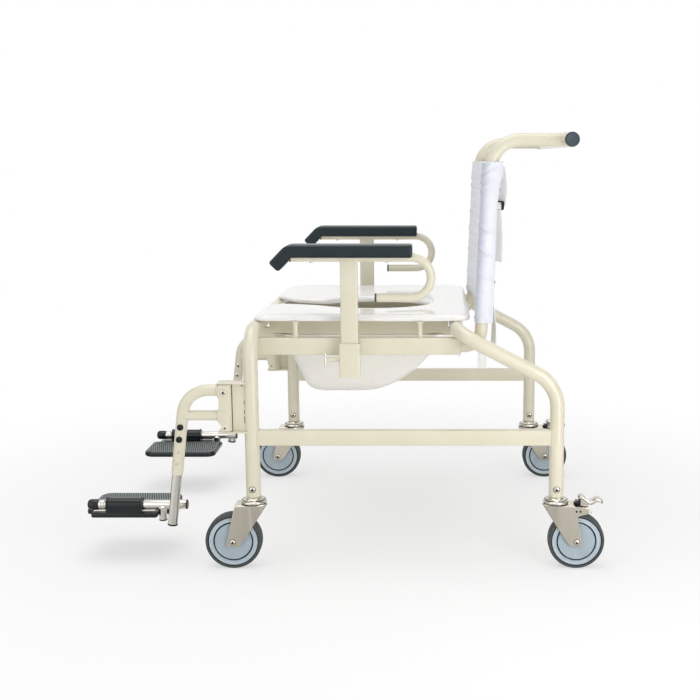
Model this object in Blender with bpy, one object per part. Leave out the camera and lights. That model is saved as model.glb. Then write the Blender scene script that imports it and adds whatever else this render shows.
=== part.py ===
"""Bariatric shower chair on swivel casters, with swing-away footrests, lift-out arms and a slide-out pan.

Metres, +Z up. The sitter faces -Y and the sitter's left is +X. The origin is on the floor, under the
middle of the chair's length and width. Two bent hoops carry the seat; every other piece hangs on them.
"""

import math

import bmesh
import bpy
import numpy as np

# Fits between pieces
SEAT_GAP = 0.0003            # between two pieces that rest on or are welded to each other
RUNNING_GAP = 0.0004         # between a pin and the hole it turns in
WELD_SINK = 0.003            # how far one welded tube reaches into the next
HEAD_TAPER = 0.8             # small end of a turned head as a share of its large end

# Hoops: front and rear bent tubes that make the legs and the crossbars under the seat
LEG_SPAN = 0.700             # between left and right leg axes
LEG_SPACING = 0.6705         # between front and rear leg axes
FRAME_TUBE = 0.032           # tube diameter
CROSSBAR_HEIGHT = 0.530      # axis of the crossbars above the floor
REAR_BAR_INSET = 0.031       # rear crossbar's axis ahead of the seat's rear edge
HOOP_BEND = 0.060            # bend where a leg turns in under the seat
KNEE_BEND = 0.085            # bend in the rear legs
KNEE_SLOPE = math.radians(27.5)

# Casters
WHEEL_RADIUS = 0.0625
TYRE_WIDTH = 0.032
TYRE_DEPTH = 0.0075          # rubber on the rim
TREAD_FLAT = 0.020           # flat width of the tread
TYRE_BEVEL = 0.002           # bevel of the tyre's inner edge, against the rim
TYRE_ROUND = 0.0025          # fall of the tread at the shoulders
HUB_WIDTH = 0.029
HUB_GROOVE_RADIUS = 0.043
HUB_GROOVE = 0.0025          # width and depth of the ring groove in the hub's face
HUB_BOSS_RADIUS = 0.013
TRAIL = 0.046                # axle ahead of the swivel
CASTER_HEIGHT = 0.163        # foot of the leg above the floor
CROWN_TOP = 0.147            # top of the fork's crown
FORK_SHEET = 0.0025
FORK_SIDE_GAP = 0.0025       # between the tyre and each fork plate
FORK_TOP_REACH = 0.040       # front edge of the crown ahead of the swivel
FORK_BACK = 0.0275           # back of the crown behind the swivel
FORK_FOOT = 0.0105           # plate below the axle
FORK_FOOT_LENGTH = 0.026
FORK_FOOT_LEAD = 0.0117      # front end of the foot ahead of the axle
FORK_CORNER = 0.006
AXLE_RADIUS = 0.004
AXLE_HEAD_RADIUS = 0.0065
AXLE_HEAD = 0.0035
STEM_RADIUS = 0.0127
STEM_LENGTH = 0.038
COLLAR_RADIUS = 0.0185
COLLAR_DEPTH = 0.004
RACE_SHOULDER = 0.0018
RACE_RADIUS = 0.0285
RACE_ROUND = 0.0029          # radius lost at the race's upper edge
KINGPIN_RADIUS = 0.006
KINGPIN_HEAD_RADIUS = 0.010
KINGPIN_HEAD = 0.005

# Total-lock pedal on each rear caster
PEDAL_PIVOT_REACH = 0.060    # pivot ahead of the swivel
PEDAL_PIVOT_DROP = 0.011     # pivot below the crown's top
PEDAL_PIVOT_RADIUS = 0.0035
PEDAL_WIDTH = 0.026
PEDAL_SHEET = 0.003
PEDAL_TOE = 0.044            # end of the tread plate beyond the pivot
PEDAL_HEEL = 0.0105          # start of the tread plate before the pivot
PEDAL_CREST = 0.003          # first lobe's top before the pivot
PEDAL_RISE = 0.0235          # tread plate above the pivot at its first lobe, without the lobe
PEDAL_SLOPE = 0.16           # fall of the tread plate towards its toe
PEDAL_LOBE = 0.0045          # half height of the tread's waves
PEDAL_LOBE_PITCH = 0.037     # between the tops of the two lobes
PEDAL_WEB_TOE = 0.016        # end of the web under the tread, beyond the pivot
PEDAL_WEB_DROP = 0.0045      # foot of the web below the pivot
PEDAL_WEB_WIDTH = 0.018
PEDAL_WEB_CORNER = 0.002
PEDAL_EAR = 0.010            # half height of the fork's ears round the pivot
PEDAL_EAR_CORNER = 0.009
PEDAL_EAR_ROOT = 0.005       # ear's lower root ahead of the crown's front edge
PEDAL_EAR_DEPTH = 0.016      # ear's lower root below the pivot
PEDAL_EAR_FILLET = 0.004
SHOE_REACH = 0.021           # brake shoe's tip beyond the pivot
SHOE_LIFT = 0.006            # shoe's tip above the tyre when released
SHOE_WIDTH = 0.013
SHOE_ROOT = 0.012            # shoe's root on the web, beyond the pivot

# Side rails, lower rails and pan rails
RAIL_INSET = 0.055           # side rail axis inside the leg axis
RAIL_WIDTH = 0.025
RAIL_HEIGHT = 0.038
RAIL_WALL = 0.0025
RAIL_DROP = 0.003            # rail top below the crossbars
RAIL_FRONT = 0.015           # rail front end ahead of the front crossbar's axis
RAIL_REAR = 0.009            # rail rear end behind the rear crossbar's axis
STANDOFF_RADIUS = 0.005
STANDOFF_SETBACKS = (0.093, 0.369)
LOWER_RAIL_WIDTH = 0.020
LOWER_RAIL_HEIGHT = 0.034
LOWER_RAIL_Z = 0.297         # axis above the floor
PAN_RAIL_SPACING = 0.357     # between the outer faces of the two pan rails
PAN_RAIL_HEIGHT = 0.0175
PAN_RAIL_FLANGE = 0.022
PAN_RAIL_SHEET = 0.002
PAN_RAIL_OVERHANG = 0.012    # past the crossbar axes

# Back and push handle
BACK_TUBE = 0.0286
BACK_CLEARANCE = 0.022       # back uprights' feet behind the seat's rear edge
BACK_LEAN = math.radians(2.8)
BACK_FOOT_BEND = 0.038
HANDLE_HEIGHT = 0.943
HANDLE_BEND = 0.065
HANDLE_SETBACK = 0.692       # push handle behind the front legs
HANDLE_LENGTH = 0.690
HANDLE_BORE = 0.0262
HANDLE_BORE_DEPTH = 0.016
CAP_FLANGE = 0.005
CAP_PLUG = 0.012
CAP_BEVEL = 0.0016

# Back sling and its webbing
SLING_SHEET = 0.002
SLING_CLEARANCE = 0.016      # lower hem above the crossbars' axis
SLING_TOP_DROP = 0.048       # upper hem below the handle's axis
SLING_HALF_DEPTH = 0.0185    # half of the wrap's depth round an upright
SLING_FLAP = 0.100           # flap behind each upright
SLING_SAG = 0.014            # slack at the middle of the front panel
SLING_FOLD = 0.0016          # height of the fabric's main folds
SLING_FOLDS = 4
STRAP_WIDTH = 0.026
STRAP_SHEET = 0.002
STRAP_INSET = 0.040          # strap's end inside the upright's axis
UPPER_STRAP_Z = 0.800
UPPER_TAIL = 0.120
LOWER_STRAP_Z = 0.590
LOWER_TAILS = (0.110, 0.250)

# Seat
SEAT_LENGTH = 0.486
SEAT_THICKNESS = 0.014
SEAT_OVERHANG = 0.005        # front edge ahead of the front crossbar's axis
SEAT_SIDE_CLEARANCE = 0.020  # between the seat's edge and the armrest post
SEAT_REAR_CORNER = 0.030
SEAT_LOBE_CORNER = 0.034
SEAT_SLOT = 0.110            # width of the opening's front slot
SEAT_SLOT_CORNER = 0.070
SEAT_OPENING = 0.210         # width of the opening's middle
SEAT_OPENING_SETBACK = 0.252 # middle of the opening behind the seat's front edge
SEAT_OPENING_LENGTH = 0.286
SEAT_EDGE = 0.006            # rounding of the seat's edge
SEAT_FRONT_THINNING = 0.45   # share of the thickness lost at the front edge
SEAT_THINNING_LENGTH = 0.070
SEAT_DISH = 0.0155           # fall of the seat towards the middle of its opening
SEAT_DISH_SPREAD = 2.0       # how fast the dish flattens out away from the opening
SEAT_DISH_EASE = 0.060       # length before each crossbar over which the dish fades out
SEAT_EDGE_PROFILE = ((0.5, 0.0), (0.0, 0.3), (0.0, 0.6), (0.4, 0.9), (1.0, 1.0))  # share of edge, of thickness
SEAT_STATIONS = (0.05, 0.1, 0.15, 0.3, 0.4, 0.5, 0.6, 0.7, 0.8)  # shares of the length where the top bends
SEAT_LANES = (-0.168, 0.0, 0.168)  # lines along the seat where the top bends

# Commode pan
PAN_FRONT = 0.030            # rim front behind the front legs
PAN_LENGTH = 0.390
PAN_RIM = 0.004
PAN_RIM_FLANGE = 0.012
PAN_WALL = 0.003
PAN_DEPTH = 0.157
PAN_FLOOR_WIDTH = 0.190
PAN_FLOOR_FRONT = 0.068      # floor's front edge behind the rim's
PAN_FLOOR_LENGTH = 0.186
PAN_CORNER = 0.045
PAN_BULGE = 1.8              # how full the walls are between floor and rim; 1 is straight
PAN_FLOOR_ROUND = 0.014      # floor's flat part inside its outline
PAN_LEVELS = (0.06, 0.35, 0.7)  # shares of the depth where the walls bend

# Armrests
ARM_SETBACK = 0.215          # post axis behind the front legs
POST_LENGTH_Y = 0.038
POST_WIDTH = 0.020
POST_CORNER = 0.003
SOCKET_WALL = 0.0036
SOCKET_HEIGHT = 0.075
SOCKET_DROP = 0.045          # socket's foot below the side rail's foot
POST_FOOT_INSET = 0.004      # post's foot above the socket's foot
ARM_TUBE = 0.019
ARM_TUBE_HEIGHT = 0.691
ARM_TUBE_FRONT = 0.126       # tube's front end ahead of the post axis
ARM_HOOK_CENTRE = 0.1345     # middle of the hook's bend behind the post axis
ARM_HOOK_RADIUS = 0.044
ARM_HOOK_FLAT = 0.00005      # straight run between the hook's two bends
ARM_HOOK_RETURN = 0.059      # hook's free end behind the post axis
PAD_WIDTH = 0.054
PAD_THICKNESS = 0.029
PAD_REAR = 0.138             # pad's rear end behind the post axis
PAD_FRONT = 0.134            # start of the bent nose ahead of the post axis
PAD_NOSE = 0.054             # length of the bent nose
PAD_NOSE_ANGLE = math.radians(46)
PAD_CROWN = 0.003
PAD_EDGE = 0.008             # rounding of the pad's long edges
PAD_END = 0.005              # rounding of the pad's ends
PAD_END_PROFILE = ((0.0, 0.91), (0.3, 0.97), (1.0, 1.0))  # share of the end's rounding, size of the section
PAD_BEND = 0.0148            # half length of the bend where the nose begins
PAD_GROOVE_LEAD = 0.002      # groove ahead of the tube's front end
PLUNGER_DROP = 0.0375        # plunger axis below the socket's mouth
PLUNGER_RADIUS = 0.0025
PLUNGER_HOUSING = 0.0096
PLUNGER_HOUSING_LENGTH = 0.0265
PLUNGER_BAR = 0.007
PLUNGER_BAR_LENGTH = 0.027
PLUNGER_STAND = 0.001        # pull bar clear of the housing's mouth

# Swing-away footrest hangers
HINGE_OUTSET = 0.006         # hinge axis outside the leg axis
HINGE_LEAD = 0.0585          # hinge axis ahead of the front leg axis
HINGE_PIN_RADIUS = 0.005
HINGE_SLEEVE = 0.026
HINGE_SLEEVE_CORNER = 0.006
BRACKET_LOW = 0.310
BRACKET_HIGH = 0.422
BRACKET_SHEET = 0.003
BRACKET_EAR = 0.0145         # ear beyond the hinge axis
BRACKET_LAP = 0.0096         # bracket's rear edge inside the leg's front face
BRACKET_CLEARANCE = 0.0006   # between the turning sleeve's corners and the plate
HANGER_TUBE = 0.0254
HANGER_TUBE_DROP = 0.0175    # upper tube's axis below the bracket's top
HANGER_BRACE = 0.022
HANGER_BRACE_DROP = 0.074
HANGER_REACH = 0.085         # upper tube's corner ahead of the hinge
HANGER_BEND = 0.058
HANGER_LEAN = math.radians(7)
HANGER_FOOT = 0.2115         # foot of the hanger tube above the floor
EXTENSION_TUBE = 0.0216
EXTENSION_INSERT = 0.115     # length held in the hanger tube
EXTENSION_FOOT = 0.098

# Footplates
FOOT_BAR = 0.0206
FOOT_BAR_HEIGHT = 0.1306
FOOT_BAR_INSET = 0.046       # foot bar's axis inside the extension's
FOOT_BAR_REAR = 0.021        # rear end behind the extension's axis
FOOT_BAR_LENGTH = 0.226
FOOT_GRIP_RADIUS = 0.012
FOOT_GRIP_LENGTH = 0.025
FOOT_GRIP_BEVEL = 0.002
FOOT_LINK = 0.018            # tube that joins the foot bar to the extension
STUB_RADIUS = 0.009
STUB_LENGTH = 0.037
STUB_SETBACK = 0.036         # stop stub ahead of the extension's axis
PLATE_REACH = 0.389          # plate's front edge ahead of the front legs
PLATE_LENGTH = 0.186
PLATE_TOP_DROP = 0.0146      # plate's top below the foot bar's axis
PLATE_THICKNESS = 0.013
PLATE_INBOARD = 0.134        # plate's inner edge from the foot bar's axis
PLATE_OUTBOARD = 0.015
PLATE_CORNER = 0.022
PLATE_NOTCH_CORNER = 0.0055
PLATE_FLANGE_SHORT = 0.016   # outboard flange shorter than the plate at the front
PLATE_STUB_CLEARANCE = 0.0015
CLAMP_FRONT = 0.050          # clamp behind the plate's front edge
CLAMP_LENGTH = 0.081
CLAMP_WALL = 0.0045
CLAMP_WRAP = math.radians(18)  # clamp's crown past a half turn, on each side

# Facets
FRAME_SIDES = 16
SMALL_SIDES = 12
WHEEL_SIDES = 28
BEND_STEPS = 6
CORNER_STEPS = 3

# Places worked out from the sizes above
LEG_X = LEG_SPAN / 2
REAR_REACH = LEG_SPACING + TRAIL + WHEEL_RADIUS
FRONT_LEG_Y = (PLATE_REACH - REAR_REACH) / 2
REAR_LEG_Y = FRONT_LEG_Y + LEG_SPACING
SEAT_FRONT_Y = FRONT_LEG_Y - SEAT_OVERHANG
SEAT_REAR_Y = SEAT_FRONT_Y + SEAT_LENGTH
REAR_BAR_Y = SEAT_REAR_Y - REAR_BAR_INSET
FRAME_RADIUS = FRAME_TUBE / 2
CROSSBAR_TOP = CROSSBAR_HEIGHT + FRAME_RADIUS
CROSSBAR_FOOT = CROSSBAR_HEIGHT - FRAME_RADIUS
RAIL_X = LEG_X - RAIL_INSET
RAIL_TOP = CROSSBAR_FOOT - RAIL_DROP
RAIL_FOOT = RAIL_TOP - RAIL_HEIGHT
RAIL_REAR_Y = REAR_BAR_Y + RAIL_REAR
SEAT_FOOT = CROSSBAR_TOP + SEAT_GAP
HANDLE_Y = FRONT_LEG_Y + HANDLE_SETBACK
BACK_RADIUS = BACK_TUBE / 2
BACK_FOOT_Z = RAIL_TOP - RAIL_HEIGHT / 2
ARM_X = RAIL_X + RAIL_WIDTH / 2 + 2 * SEAT_GAP + SOCKET_WALL + POST_WIDTH / 2
ARM_Y = FRONT_LEG_Y + ARM_SETBACK
SOCKET_FOOT = RAIL_FOOT - SOCKET_DROP
SOCKET_TOP = SOCKET_FOOT + SOCKET_HEIGHT
PLUNGER_Z = SOCKET_TOP - PLUNGER_DROP
HINGE_X = LEG_X + HINGE_OUTSET
HINGE_Y = FRONT_LEG_Y - HINGE_LEAD
HANGER_Z = BRACKET_HIGH - HANGER_TUBE_DROP
HANGER_CORNER_Y = HINGE_Y - HANGER_REACH
FOOT_BAR_X = HINGE_X - FOOT_BAR_INSET


def hanger_axis_y(height):
    """Fore-aft place of the hanger's lower tube, which leans forward, at a height."""
    return HANGER_CORNER_Y - (HANGER_Z - height) * math.tan(HANGER_LEAN)


def back_axis_y(height):
    """Fore-aft place of the back uprights, which lean back, at a height."""
    return SEAT_REAR_Y + BACK_CLEARANCE + (height - BACK_FOOT_Z) * math.tan(BACK_LEAN)


FOOT_BAR_REAR_Y = hanger_axis_y(FOOT_BAR_HEIGHT) + FOOT_BAR_REAR
PLATE_FRONT_Y = FRONT_LEG_Y - PLATE_REACH

MATERIALS = {}


def finish(name, colour, roughness, metallic=0.0):
    """A painted, moulded or metal finish, shared by the pieces that have it."""
    if name not in MATERIALS:
        material = bpy.data.materials.new(name)
        material.use_nodes = True
        shader = material.node_tree.nodes["Principled BSDF"]
        shader.inputs["Base Color"].default_value = (*colour, 1.0)
        shader.inputs["Roughness"].default_value = roughness
        shader.inputs["Metallic"].default_value = metallic
        MATERIALS[name] = material
    return MATERIALS[name]


def cream_enamel():
    return finish("cream_enamel", (0.78, 0.74, 0.60), 0.35)


def stainless_steel():
    return finish("stainless_steel", (0.55, 0.54, 0.50), 0.30, 1.0)


def nickel_plate():
    return finish("nickel_plate", (0.55, 0.52, 0.46), 0.25, 1.0)


def black_plastic():
    return finish("black_plastic", (0.02, 0.024, 0.03), 0.45)


def slate_foam():
    return finish("slate_foam", (0.024, 0.036, 0.048), 0.55)


def white_plastic():
    return finish("white_plastic", (0.88, 0.88, 0.87), 0.20)


def natural_plastic():
    return finish("natural_plastic", (0.78, 0.76, 0.72), 0.35)


def wheel_plastic():
    return finish("wheel_plastic", (0.43, 0.50, 0.56), 0.40)


def grey_rubber():
    return finish("grey_rubber", (0.065, 0.07, 0.068), 0.75)


def white_nylon():
    return finish("white_nylon", (0.80, 0.81, 0.88), 0.60)


def white_webbing():
    return finish("white_webbing", (0.82, 0.81, 0.78), 0.80)


def add_object(name, points, faces, material=None):
    """A named object whose faces all point outwards; round stretches are shaded smooth."""
    mesh = bpy.data.meshes.new(name)
    mesh.from_pydata([tuple(map(float, point)) for point in points], [], faces)
    shape = bmesh.new()
    shape.from_mesh(mesh)
    bmesh.ops.recalc_face_normals(shape, faces=shape.faces)
    shape.to_mesh(mesh)
    shape.free()
    mesh.shade_smooth()
    mesh.set_sharp_from_angle(angle=math.radians(38))
    thing = bpy.data.objects.new(name, mesh)
    bpy.context.scene.collection.objects.link(thing)
    if material:
        mesh.materials.append(material)
    return thing


def add_empty(name, at, turn=0.0):
    """A placing point for a moving group, turned about the vertical."""
    empty = bpy.data.objects.new(name, None)
    empty.location = at
    empty.rotation_euler = (0, 0, turn)
    bpy.context.scene.collection.objects.link(empty)
    return empty


def combine(thing, tool, operation):
    """Cut, join or intersect a piece with a hidden tool shape."""
    tool.hide_render = True
    tool.display_type = 'WIRE'
    step = thing.modifiers.new(operation.title(), 'BOOLEAN')
    step.operation = operation
    step.solver = 'EXACT'
    step.object = tool
    return thing


def skin(rings, round_trip=False):
    """Points and faces through equal rings of points; the ends are filled unless it runs full circle."""
    rings = np.asarray(rings, float)
    count, size = rings.shape[:2]
    faces = []
    for ring in range(count if round_trip else count - 1):
        following = (ring + 1) % count
        for spot in range(size):
            beside = (spot + 1) % size
            faces.append((ring * size + spot, ring * size + beside,
                          following * size + beside, following * size + spot))
    if not round_trip:
        faces.append(tuple(range(size))[::-1])
        faces.append(tuple(range((count - 1) * size, count * size)))
    return rings.reshape(-1, 3), faces


def circle(radius, sides, offset=0.5):
    """Points of a round outline, with a flat towards the first axis when the offset is a half."""
    turns = (np.arange(sides) + offset) * 2 * math.pi / sides
    return np.column_stack([np.cos(turns), np.sin(turns)]) * radius


def turned(profile, sides, axis, ring=False, outside=False):
    """A turned shape: radius and distance along the axis, swept full circle."""
    grow = 1 / math.cos(math.pi / sides) if outside else 1.0
    rings = []
    for radius, along in profile:
        flat = circle(radius * grow, sides)
        level = np.full(sides, along)
        if axis == 'X':
            rings.append(np.column_stack([level, flat[:, 0], flat[:, 1]]))
        elif axis == 'Y':
            rings.append(np.column_stack([flat[:, 1], level, flat[:, 0]]))
        else:
            rings.append(np.column_stack([flat[:, 0], flat[:, 1], level]))
    return skin(rings, ring)


def rounded(corners, radii, steps=CORNER_STEPS, closed=True):
    """Straight runs between corners, each corner turned into an arc of its radius."""
    corners = [np.asarray(corner, float) for corner in corners]
    if np.isscalar(radii):
        radii = [radii] * len(corners)
    points = []
    for spot, corner in enumerate(corners):
        if not closed and spot in (0, len(corners) - 1):
            points.append(corner)
            continue
        before = corners[spot - 1] - corner
        after = corners[(spot + 1) % len(corners)] - corner
        before /= np.linalg.norm(before)
        after /= np.linalg.norm(after)
        half = math.acos(float(np.clip(before @ after, -1, 1))) / 2
        if radii[spot] == 0 or half > math.radians(89.5):
            points.append(corner)
            continue
        middle = (before + after) / np.linalg.norm(before + after)
        centre = corner + middle * radii[spot] / math.sin(half)
        start = corner + before * radii[spot] / math.tan(half) - centre
        end = corner + after * radii[spot] / math.tan(half) - centre
        sweep = math.pi - 2 * half
        for step in range(steps + 1):
            share = step / steps
            arm = (start * math.sin((1 - share) * sweep) + end * math.sin(share * sweep)) / math.sin(sweep)
            points.append(centre + arm)
    return np.array(points)


def carried_frames(path):
    """Two cross directions at every point of a path, carried along it without twisting."""
    path = np.asarray(path, float)
    steps = np.diff(path, axis=0)
    steps /= np.linalg.norm(steps, axis=1)[:, None]
    along = np.vstack([steps[:1], steps[:-1] + steps[1:], steps[-1:]])
    along /= np.linalg.norm(along, axis=1)[:, None]
    first = np.cross(along[0], (0.0, 0.0, 1.0))
    if np.linalg.norm(first) < 0.1:
        first = np.cross(along[0], (0.0, 1.0, 0.0))
    sides = []
    for forward in along:
        first = first - forward * (first @ forward)
        first = first / np.linalg.norm(first)
        sides.append((first, np.cross(forward, first)))
    return sides


def tube(path, radius, sides, bore=0.0, bore_depths=(0.0, 0.0)):
    """A round bar along a path; its ends may have blind bores."""
    path = np.asarray(path, float)
    frames = carried_frames(path)
    steps = np.diff(path, axis=0)

    def ring(centre, frame, size):
        flat = circle(size, sides)
        return centre + flat[:, :1] * frame[0] + flat[:, 1:] * frame[1]

    rings = []
    for spot, (centre, frame) in enumerate(zip(path, frames)):
        stretch = 1.0
        if 0 < spot < len(path) - 1:
            before = steps[spot - 1] / np.linalg.norm(steps[spot - 1])
            after = steps[spot] / np.linalg.norm(steps[spot])
            stretch = 1 / math.cos(math.acos(float(np.clip(before @ after, -1, 1))) / 2)
        rings.append(ring(centre, frame, radius * (1 + (stretch - 1) / 2)))
    if bore_depths[0]:
        inward = steps[0] / np.linalg.norm(steps[0]) * bore_depths[0]
        mouth = ring(path[0], frames[0], bore)
        rings[:0] = [mouth + inward, mouth]
    if bore_depths[1]:
        inward = -steps[-1] / np.linalg.norm(steps[-1]) * bore_depths[1]
        mouth = ring(path[-1], frames[-1], bore)
        rings += [mouth, mouth + inward]
    return skin(rings)


def prism(outline, low, high, axis):
    """A flat outline extruded between two places along an axis."""
    outline = np.asarray(outline, float)
    rings = []
    for level in (low, high):
        along = np.full(len(outline), level)
        if axis == 'X':
            rings.append(np.column_stack([along, outline]))
        elif axis == 'Y':
            rings.append(np.column_stack([outline[:, 0], along, outline[:, 1]]))
        else:
            rings.append(np.column_stack([outline, along]))
    return skin(rings)


def box_outline(low, high, corner=0.0):
    """A rectangle between two corners, with rounded corners if a radius is given."""
    corners = [(low[0], low[1]), (high[0], low[1]), (high[0], high[1]), (low[0], high[1])]
    return rounded(corners, corner)


def hollow_section(outer, inner, low, high, axis):
    """A rectangular tube, open at both ends."""
    rings = []
    for outline, level in ((outer, low), (outer, high), (inner, high), (inner, low)):
        along = np.full(len(outline), level)
        if axis == 'Y':
            rings.append(np.column_stack([outline[:, 0], along, outline[:, 1]]))
        else:
            rings.append(np.column_stack([outline, along]))
    return skin(rings, True)


def straight(start, end, radius, sides=SMALL_SIDES):
    """A straight round bar between two points."""
    return tube([start, end], radius, sides)


def side_name(side):
    return "left" if side > 0 else "right"


def mirrored(shape, side):
    """The same points on the left, or on the right of the chair."""
    points, faces = shape
    return points * np.array([side, 1.0, 1.0]), faces


def front_hoop_path():
    foot = CASTER_HEIGHT
    corners = [(LEG_X, FRONT_LEG_Y, foot), (LEG_X, FRONT_LEG_Y, CROSSBAR_HEIGHT),
               (-LEG_X, FRONT_LEG_Y, CROSSBAR_HEIGHT), (-LEG_X, FRONT_LEG_Y, foot)]
    return rounded(corners, [0, HOOP_BEND, HOOP_BEND, 0], BEND_STEPS, closed=False)


def rear_hoop_path():
    foot = CASTER_HEIGHT
    knee = CROSSBAR_HEIGHT - (REAR_LEG_Y - REAR_BAR_Y) * math.tan(KNEE_SLOPE)
    half = [(LEG_X, REAR_LEG_Y, foot), (LEG_X, REAR_LEG_Y, knee), (LEG_X, REAR_BAR_Y, CROSSBAR_HEIGHT)]
    corners = half + [(-x, y, z) for x, y, z in reversed(half)]
    radii = [0, KNEE_BEND, HOOP_BEND, HOOP_BEND, KNEE_BEND, 0]
    return rounded(corners, radii, BEND_STEPS, closed=False)


def build_hoops():
    """Two bent tubes; the foot of each leg is bored for a caster's stem."""
    bore = STEM_RADIUS + SEAT_GAP
    depth = STEM_LENGTH + SEAT_GAP
    for name, path in (("front_hoop", front_hoop_path()), ("rear_hoop", rear_hoop_path())):
        shape = tube(path, FRAME_RADIUS, FRAME_SIDES, bore, (depth, depth))
        add_object(name, *shape, cream_enamel())


def build_side_rail(side):
    """A rectangular tube under the crossbars, notched to seat on their bends, with two seat standoffs."""
    name = "side_rail_" + side_name(side)
    half = RAIL_WIDTH / 2
    outer = box_outline((RAIL_X - half, RAIL_FOOT), (RAIL_X + half, RAIL_TOP))
    inner = box_outline((RAIL_X - half + RAIL_WALL, RAIL_FOOT + RAIL_WALL),
                        (RAIL_X + half - RAIL_WALL, RAIL_TOP - RAIL_WALL))
    section = hollow_section(outer, inner, FRONT_LEG_Y - RAIL_FRONT, RAIL_REAR_Y, 'Y')
    rail = add_object(name, *mirrored(section, side), cream_enamel())
    for count, setback in enumerate(STANDOFF_SETBACKS):
        y = FRONT_LEG_Y + setback
        post = straight((RAIL_X, y, RAIL_TOP - RAIL_WALL / 2), (RAIL_X, y, SEAT_FOOT - SEAT_GAP),
                        STANDOFF_RADIUS)
        combine(rail, add_object(f"{name}_standoff_{count}", *mirrored(post, side)), 'UNION')
    for hoop, path in (("front", front_hoop_path()), ("rear", rear_hoop_path())):
        notch = tube(path, FRAME_RADIUS + SEAT_GAP, FRAME_SIDES)
        combine(rail, add_object(f"{name}_{hoop}_notch", *notch), 'DIFFERENCE')


def build_lower_rail(side):
    """A rectangular tube between the front and rear legs, its ends hollowed to fit round them."""
    reach = FRAME_RADIUS + SEAT_GAP
    across = np.linspace(-LOWER_RAIL_WIDTH / 2, LOWER_RAIL_WIDTH / 2, 5)
    bow = np.sqrt(reach ** 2 - across ** 2)
    front = np.column_stack([LEG_X + across, FRONT_LEG_Y + bow])
    rear = np.column_stack([LEG_X + across[::-1], REAR_LEG_Y - bow[::-1]])
    shape = prism(np.vstack([front, rear]), LOWER_RAIL_Z - LOWER_RAIL_HEIGHT / 2,
                  LOWER_RAIL_Z + LOWER_RAIL_HEIGHT / 2, 'Z')
    add_object("lower_rail_" + side_name(side), *mirrored(shape, side), cream_enamel())


def build_pan_rail(side):
    """A folded channel under the crossbars, open inwards, that the pan's rim slides in."""
    outer = PAN_RAIL_SPACING / 2
    top = CROSSBAR_FOOT - SEAT_GAP
    low = top - PAN_RAIL_HEIGHT
    lip = outer - PAN_RAIL_FLANGE
    web = outer - PAN_RAIL_SHEET
    outline = [(lip, low), (outer, low), (outer, top), (lip, top), (lip, top - PAN_RAIL_SHEET),
               (web, top - PAN_RAIL_SHEET), (web, low + PAN_RAIL_SHEET), (lip, low + PAN_RAIL_SHEET)]
    shape = prism(outline, FRONT_LEG_Y - PAN_RAIL_OVERHANG, REAR_BAR_Y + PAN_RAIL_OVERHANG, 'Y')
    add_object("pan_rail_" + side_name(side), *mirrored(shape, side), cream_enamel())


def build_back_upright(side):
    """A bent tube from the end of the side rail, up the back and rearward to the push handle."""
    name = "back_upright_" + side_name(side)
    corners = [(RAIL_X, RAIL_REAR_Y + SEAT_GAP, BACK_FOOT_Z),
               (RAIL_X, back_axis_y(BACK_FOOT_Z), BACK_FOOT_Z),
               (RAIL_X, back_axis_y(HANDLE_HEIGHT), HANDLE_HEIGHT),
               (RAIL_X, HANDLE_Y, HANDLE_HEIGHT)]
    path = rounded(corners, [0, BACK_FOOT_BEND, HANDLE_BEND, 0], BEND_STEPS, closed=False)
    upright = add_object(name, *mirrored(tube(path, BACK_RADIUS, FRAME_SIDES), side), cream_enamel())
    reach = BACK_TUBE
    saddle = straight((RAIL_X - reach, HANDLE_Y, HANDLE_HEIGHT), (RAIL_X + reach, HANDLE_Y, HANDLE_HEIGHT),
                      FRAME_RADIUS + SEAT_GAP, FRAME_SIDES)
    combine(upright, add_object(name + "_saddle", *mirrored(saddle, side)), 'DIFFERENCE')


def build_push_handle():
    """A straight crossbar between the uprights, bored at both ends for its plugs."""
    half = HANDLE_LENGTH / 2
    path = [(-half, HANDLE_Y, HANDLE_HEIGHT), (half, HANDLE_Y, HANDLE_HEIGHT)]
    shape = tube(path, FRAME_RADIUS, FRAME_SIDES, HANDLE_BORE / 2, (HANDLE_BORE_DEPTH, HANDLE_BORE_DEPTH))
    add_object("push_handle", *shape, cream_enamel())
    plug = HANDLE_BORE / 2 - SEAT_GAP
    seat = half + SEAT_GAP
    profile = [(plug, half - CAP_PLUG), (plug, seat), (FRAME_RADIUS, seat),
               (FRAME_RADIUS, seat + CAP_FLANGE - CAP_BEVEL), (FRAME_RADIUS - CAP_BEVEL, seat + CAP_FLANGE)]
    for side in (1, -1):
        points, faces = turned(profile, FRAME_SIDES, 'X')
        points = points + np.array([0.0, HANDLE_Y, HANDLE_HEIGHT])
        add_object("handle_cap_" + side_name(side), *mirrored((points, faces), side), slate_foam())


def sling_section():
    """Half of the sling's outline from above: its across and fore-aft place from the upright, and the flat way.

    The front panel runs from the middle to the upright, goes round it as half an ellipse and comes back
    behind it as a flap.
    """
    steps = 8
    wrap = (BACK_RADIUS + SEAT_GAP) / math.cos(math.pi / steps / 2) + SLING_SHEET / 2
    front = np.linspace(0, RAIL_X, steps + 1)[:-1]
    turn = np.linspace(-math.pi / 2, math.pi / 2, steps + 1)
    flap = np.linspace(RAIL_X, RAIL_X - SLING_FLAP, 5)[1:]
    across = np.concatenate([front, RAIL_X + wrap * np.cos(turn), flap])
    slack = SLING_SAG * (1 - (front / RAIL_X) ** 2)
    depth = np.concatenate([slack - SLING_HALF_DEPTH, SLING_HALF_DEPTH * np.sin(turn),
                            np.full(len(flap), SLING_HALF_DEPTH)])
    return across, depth


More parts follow.
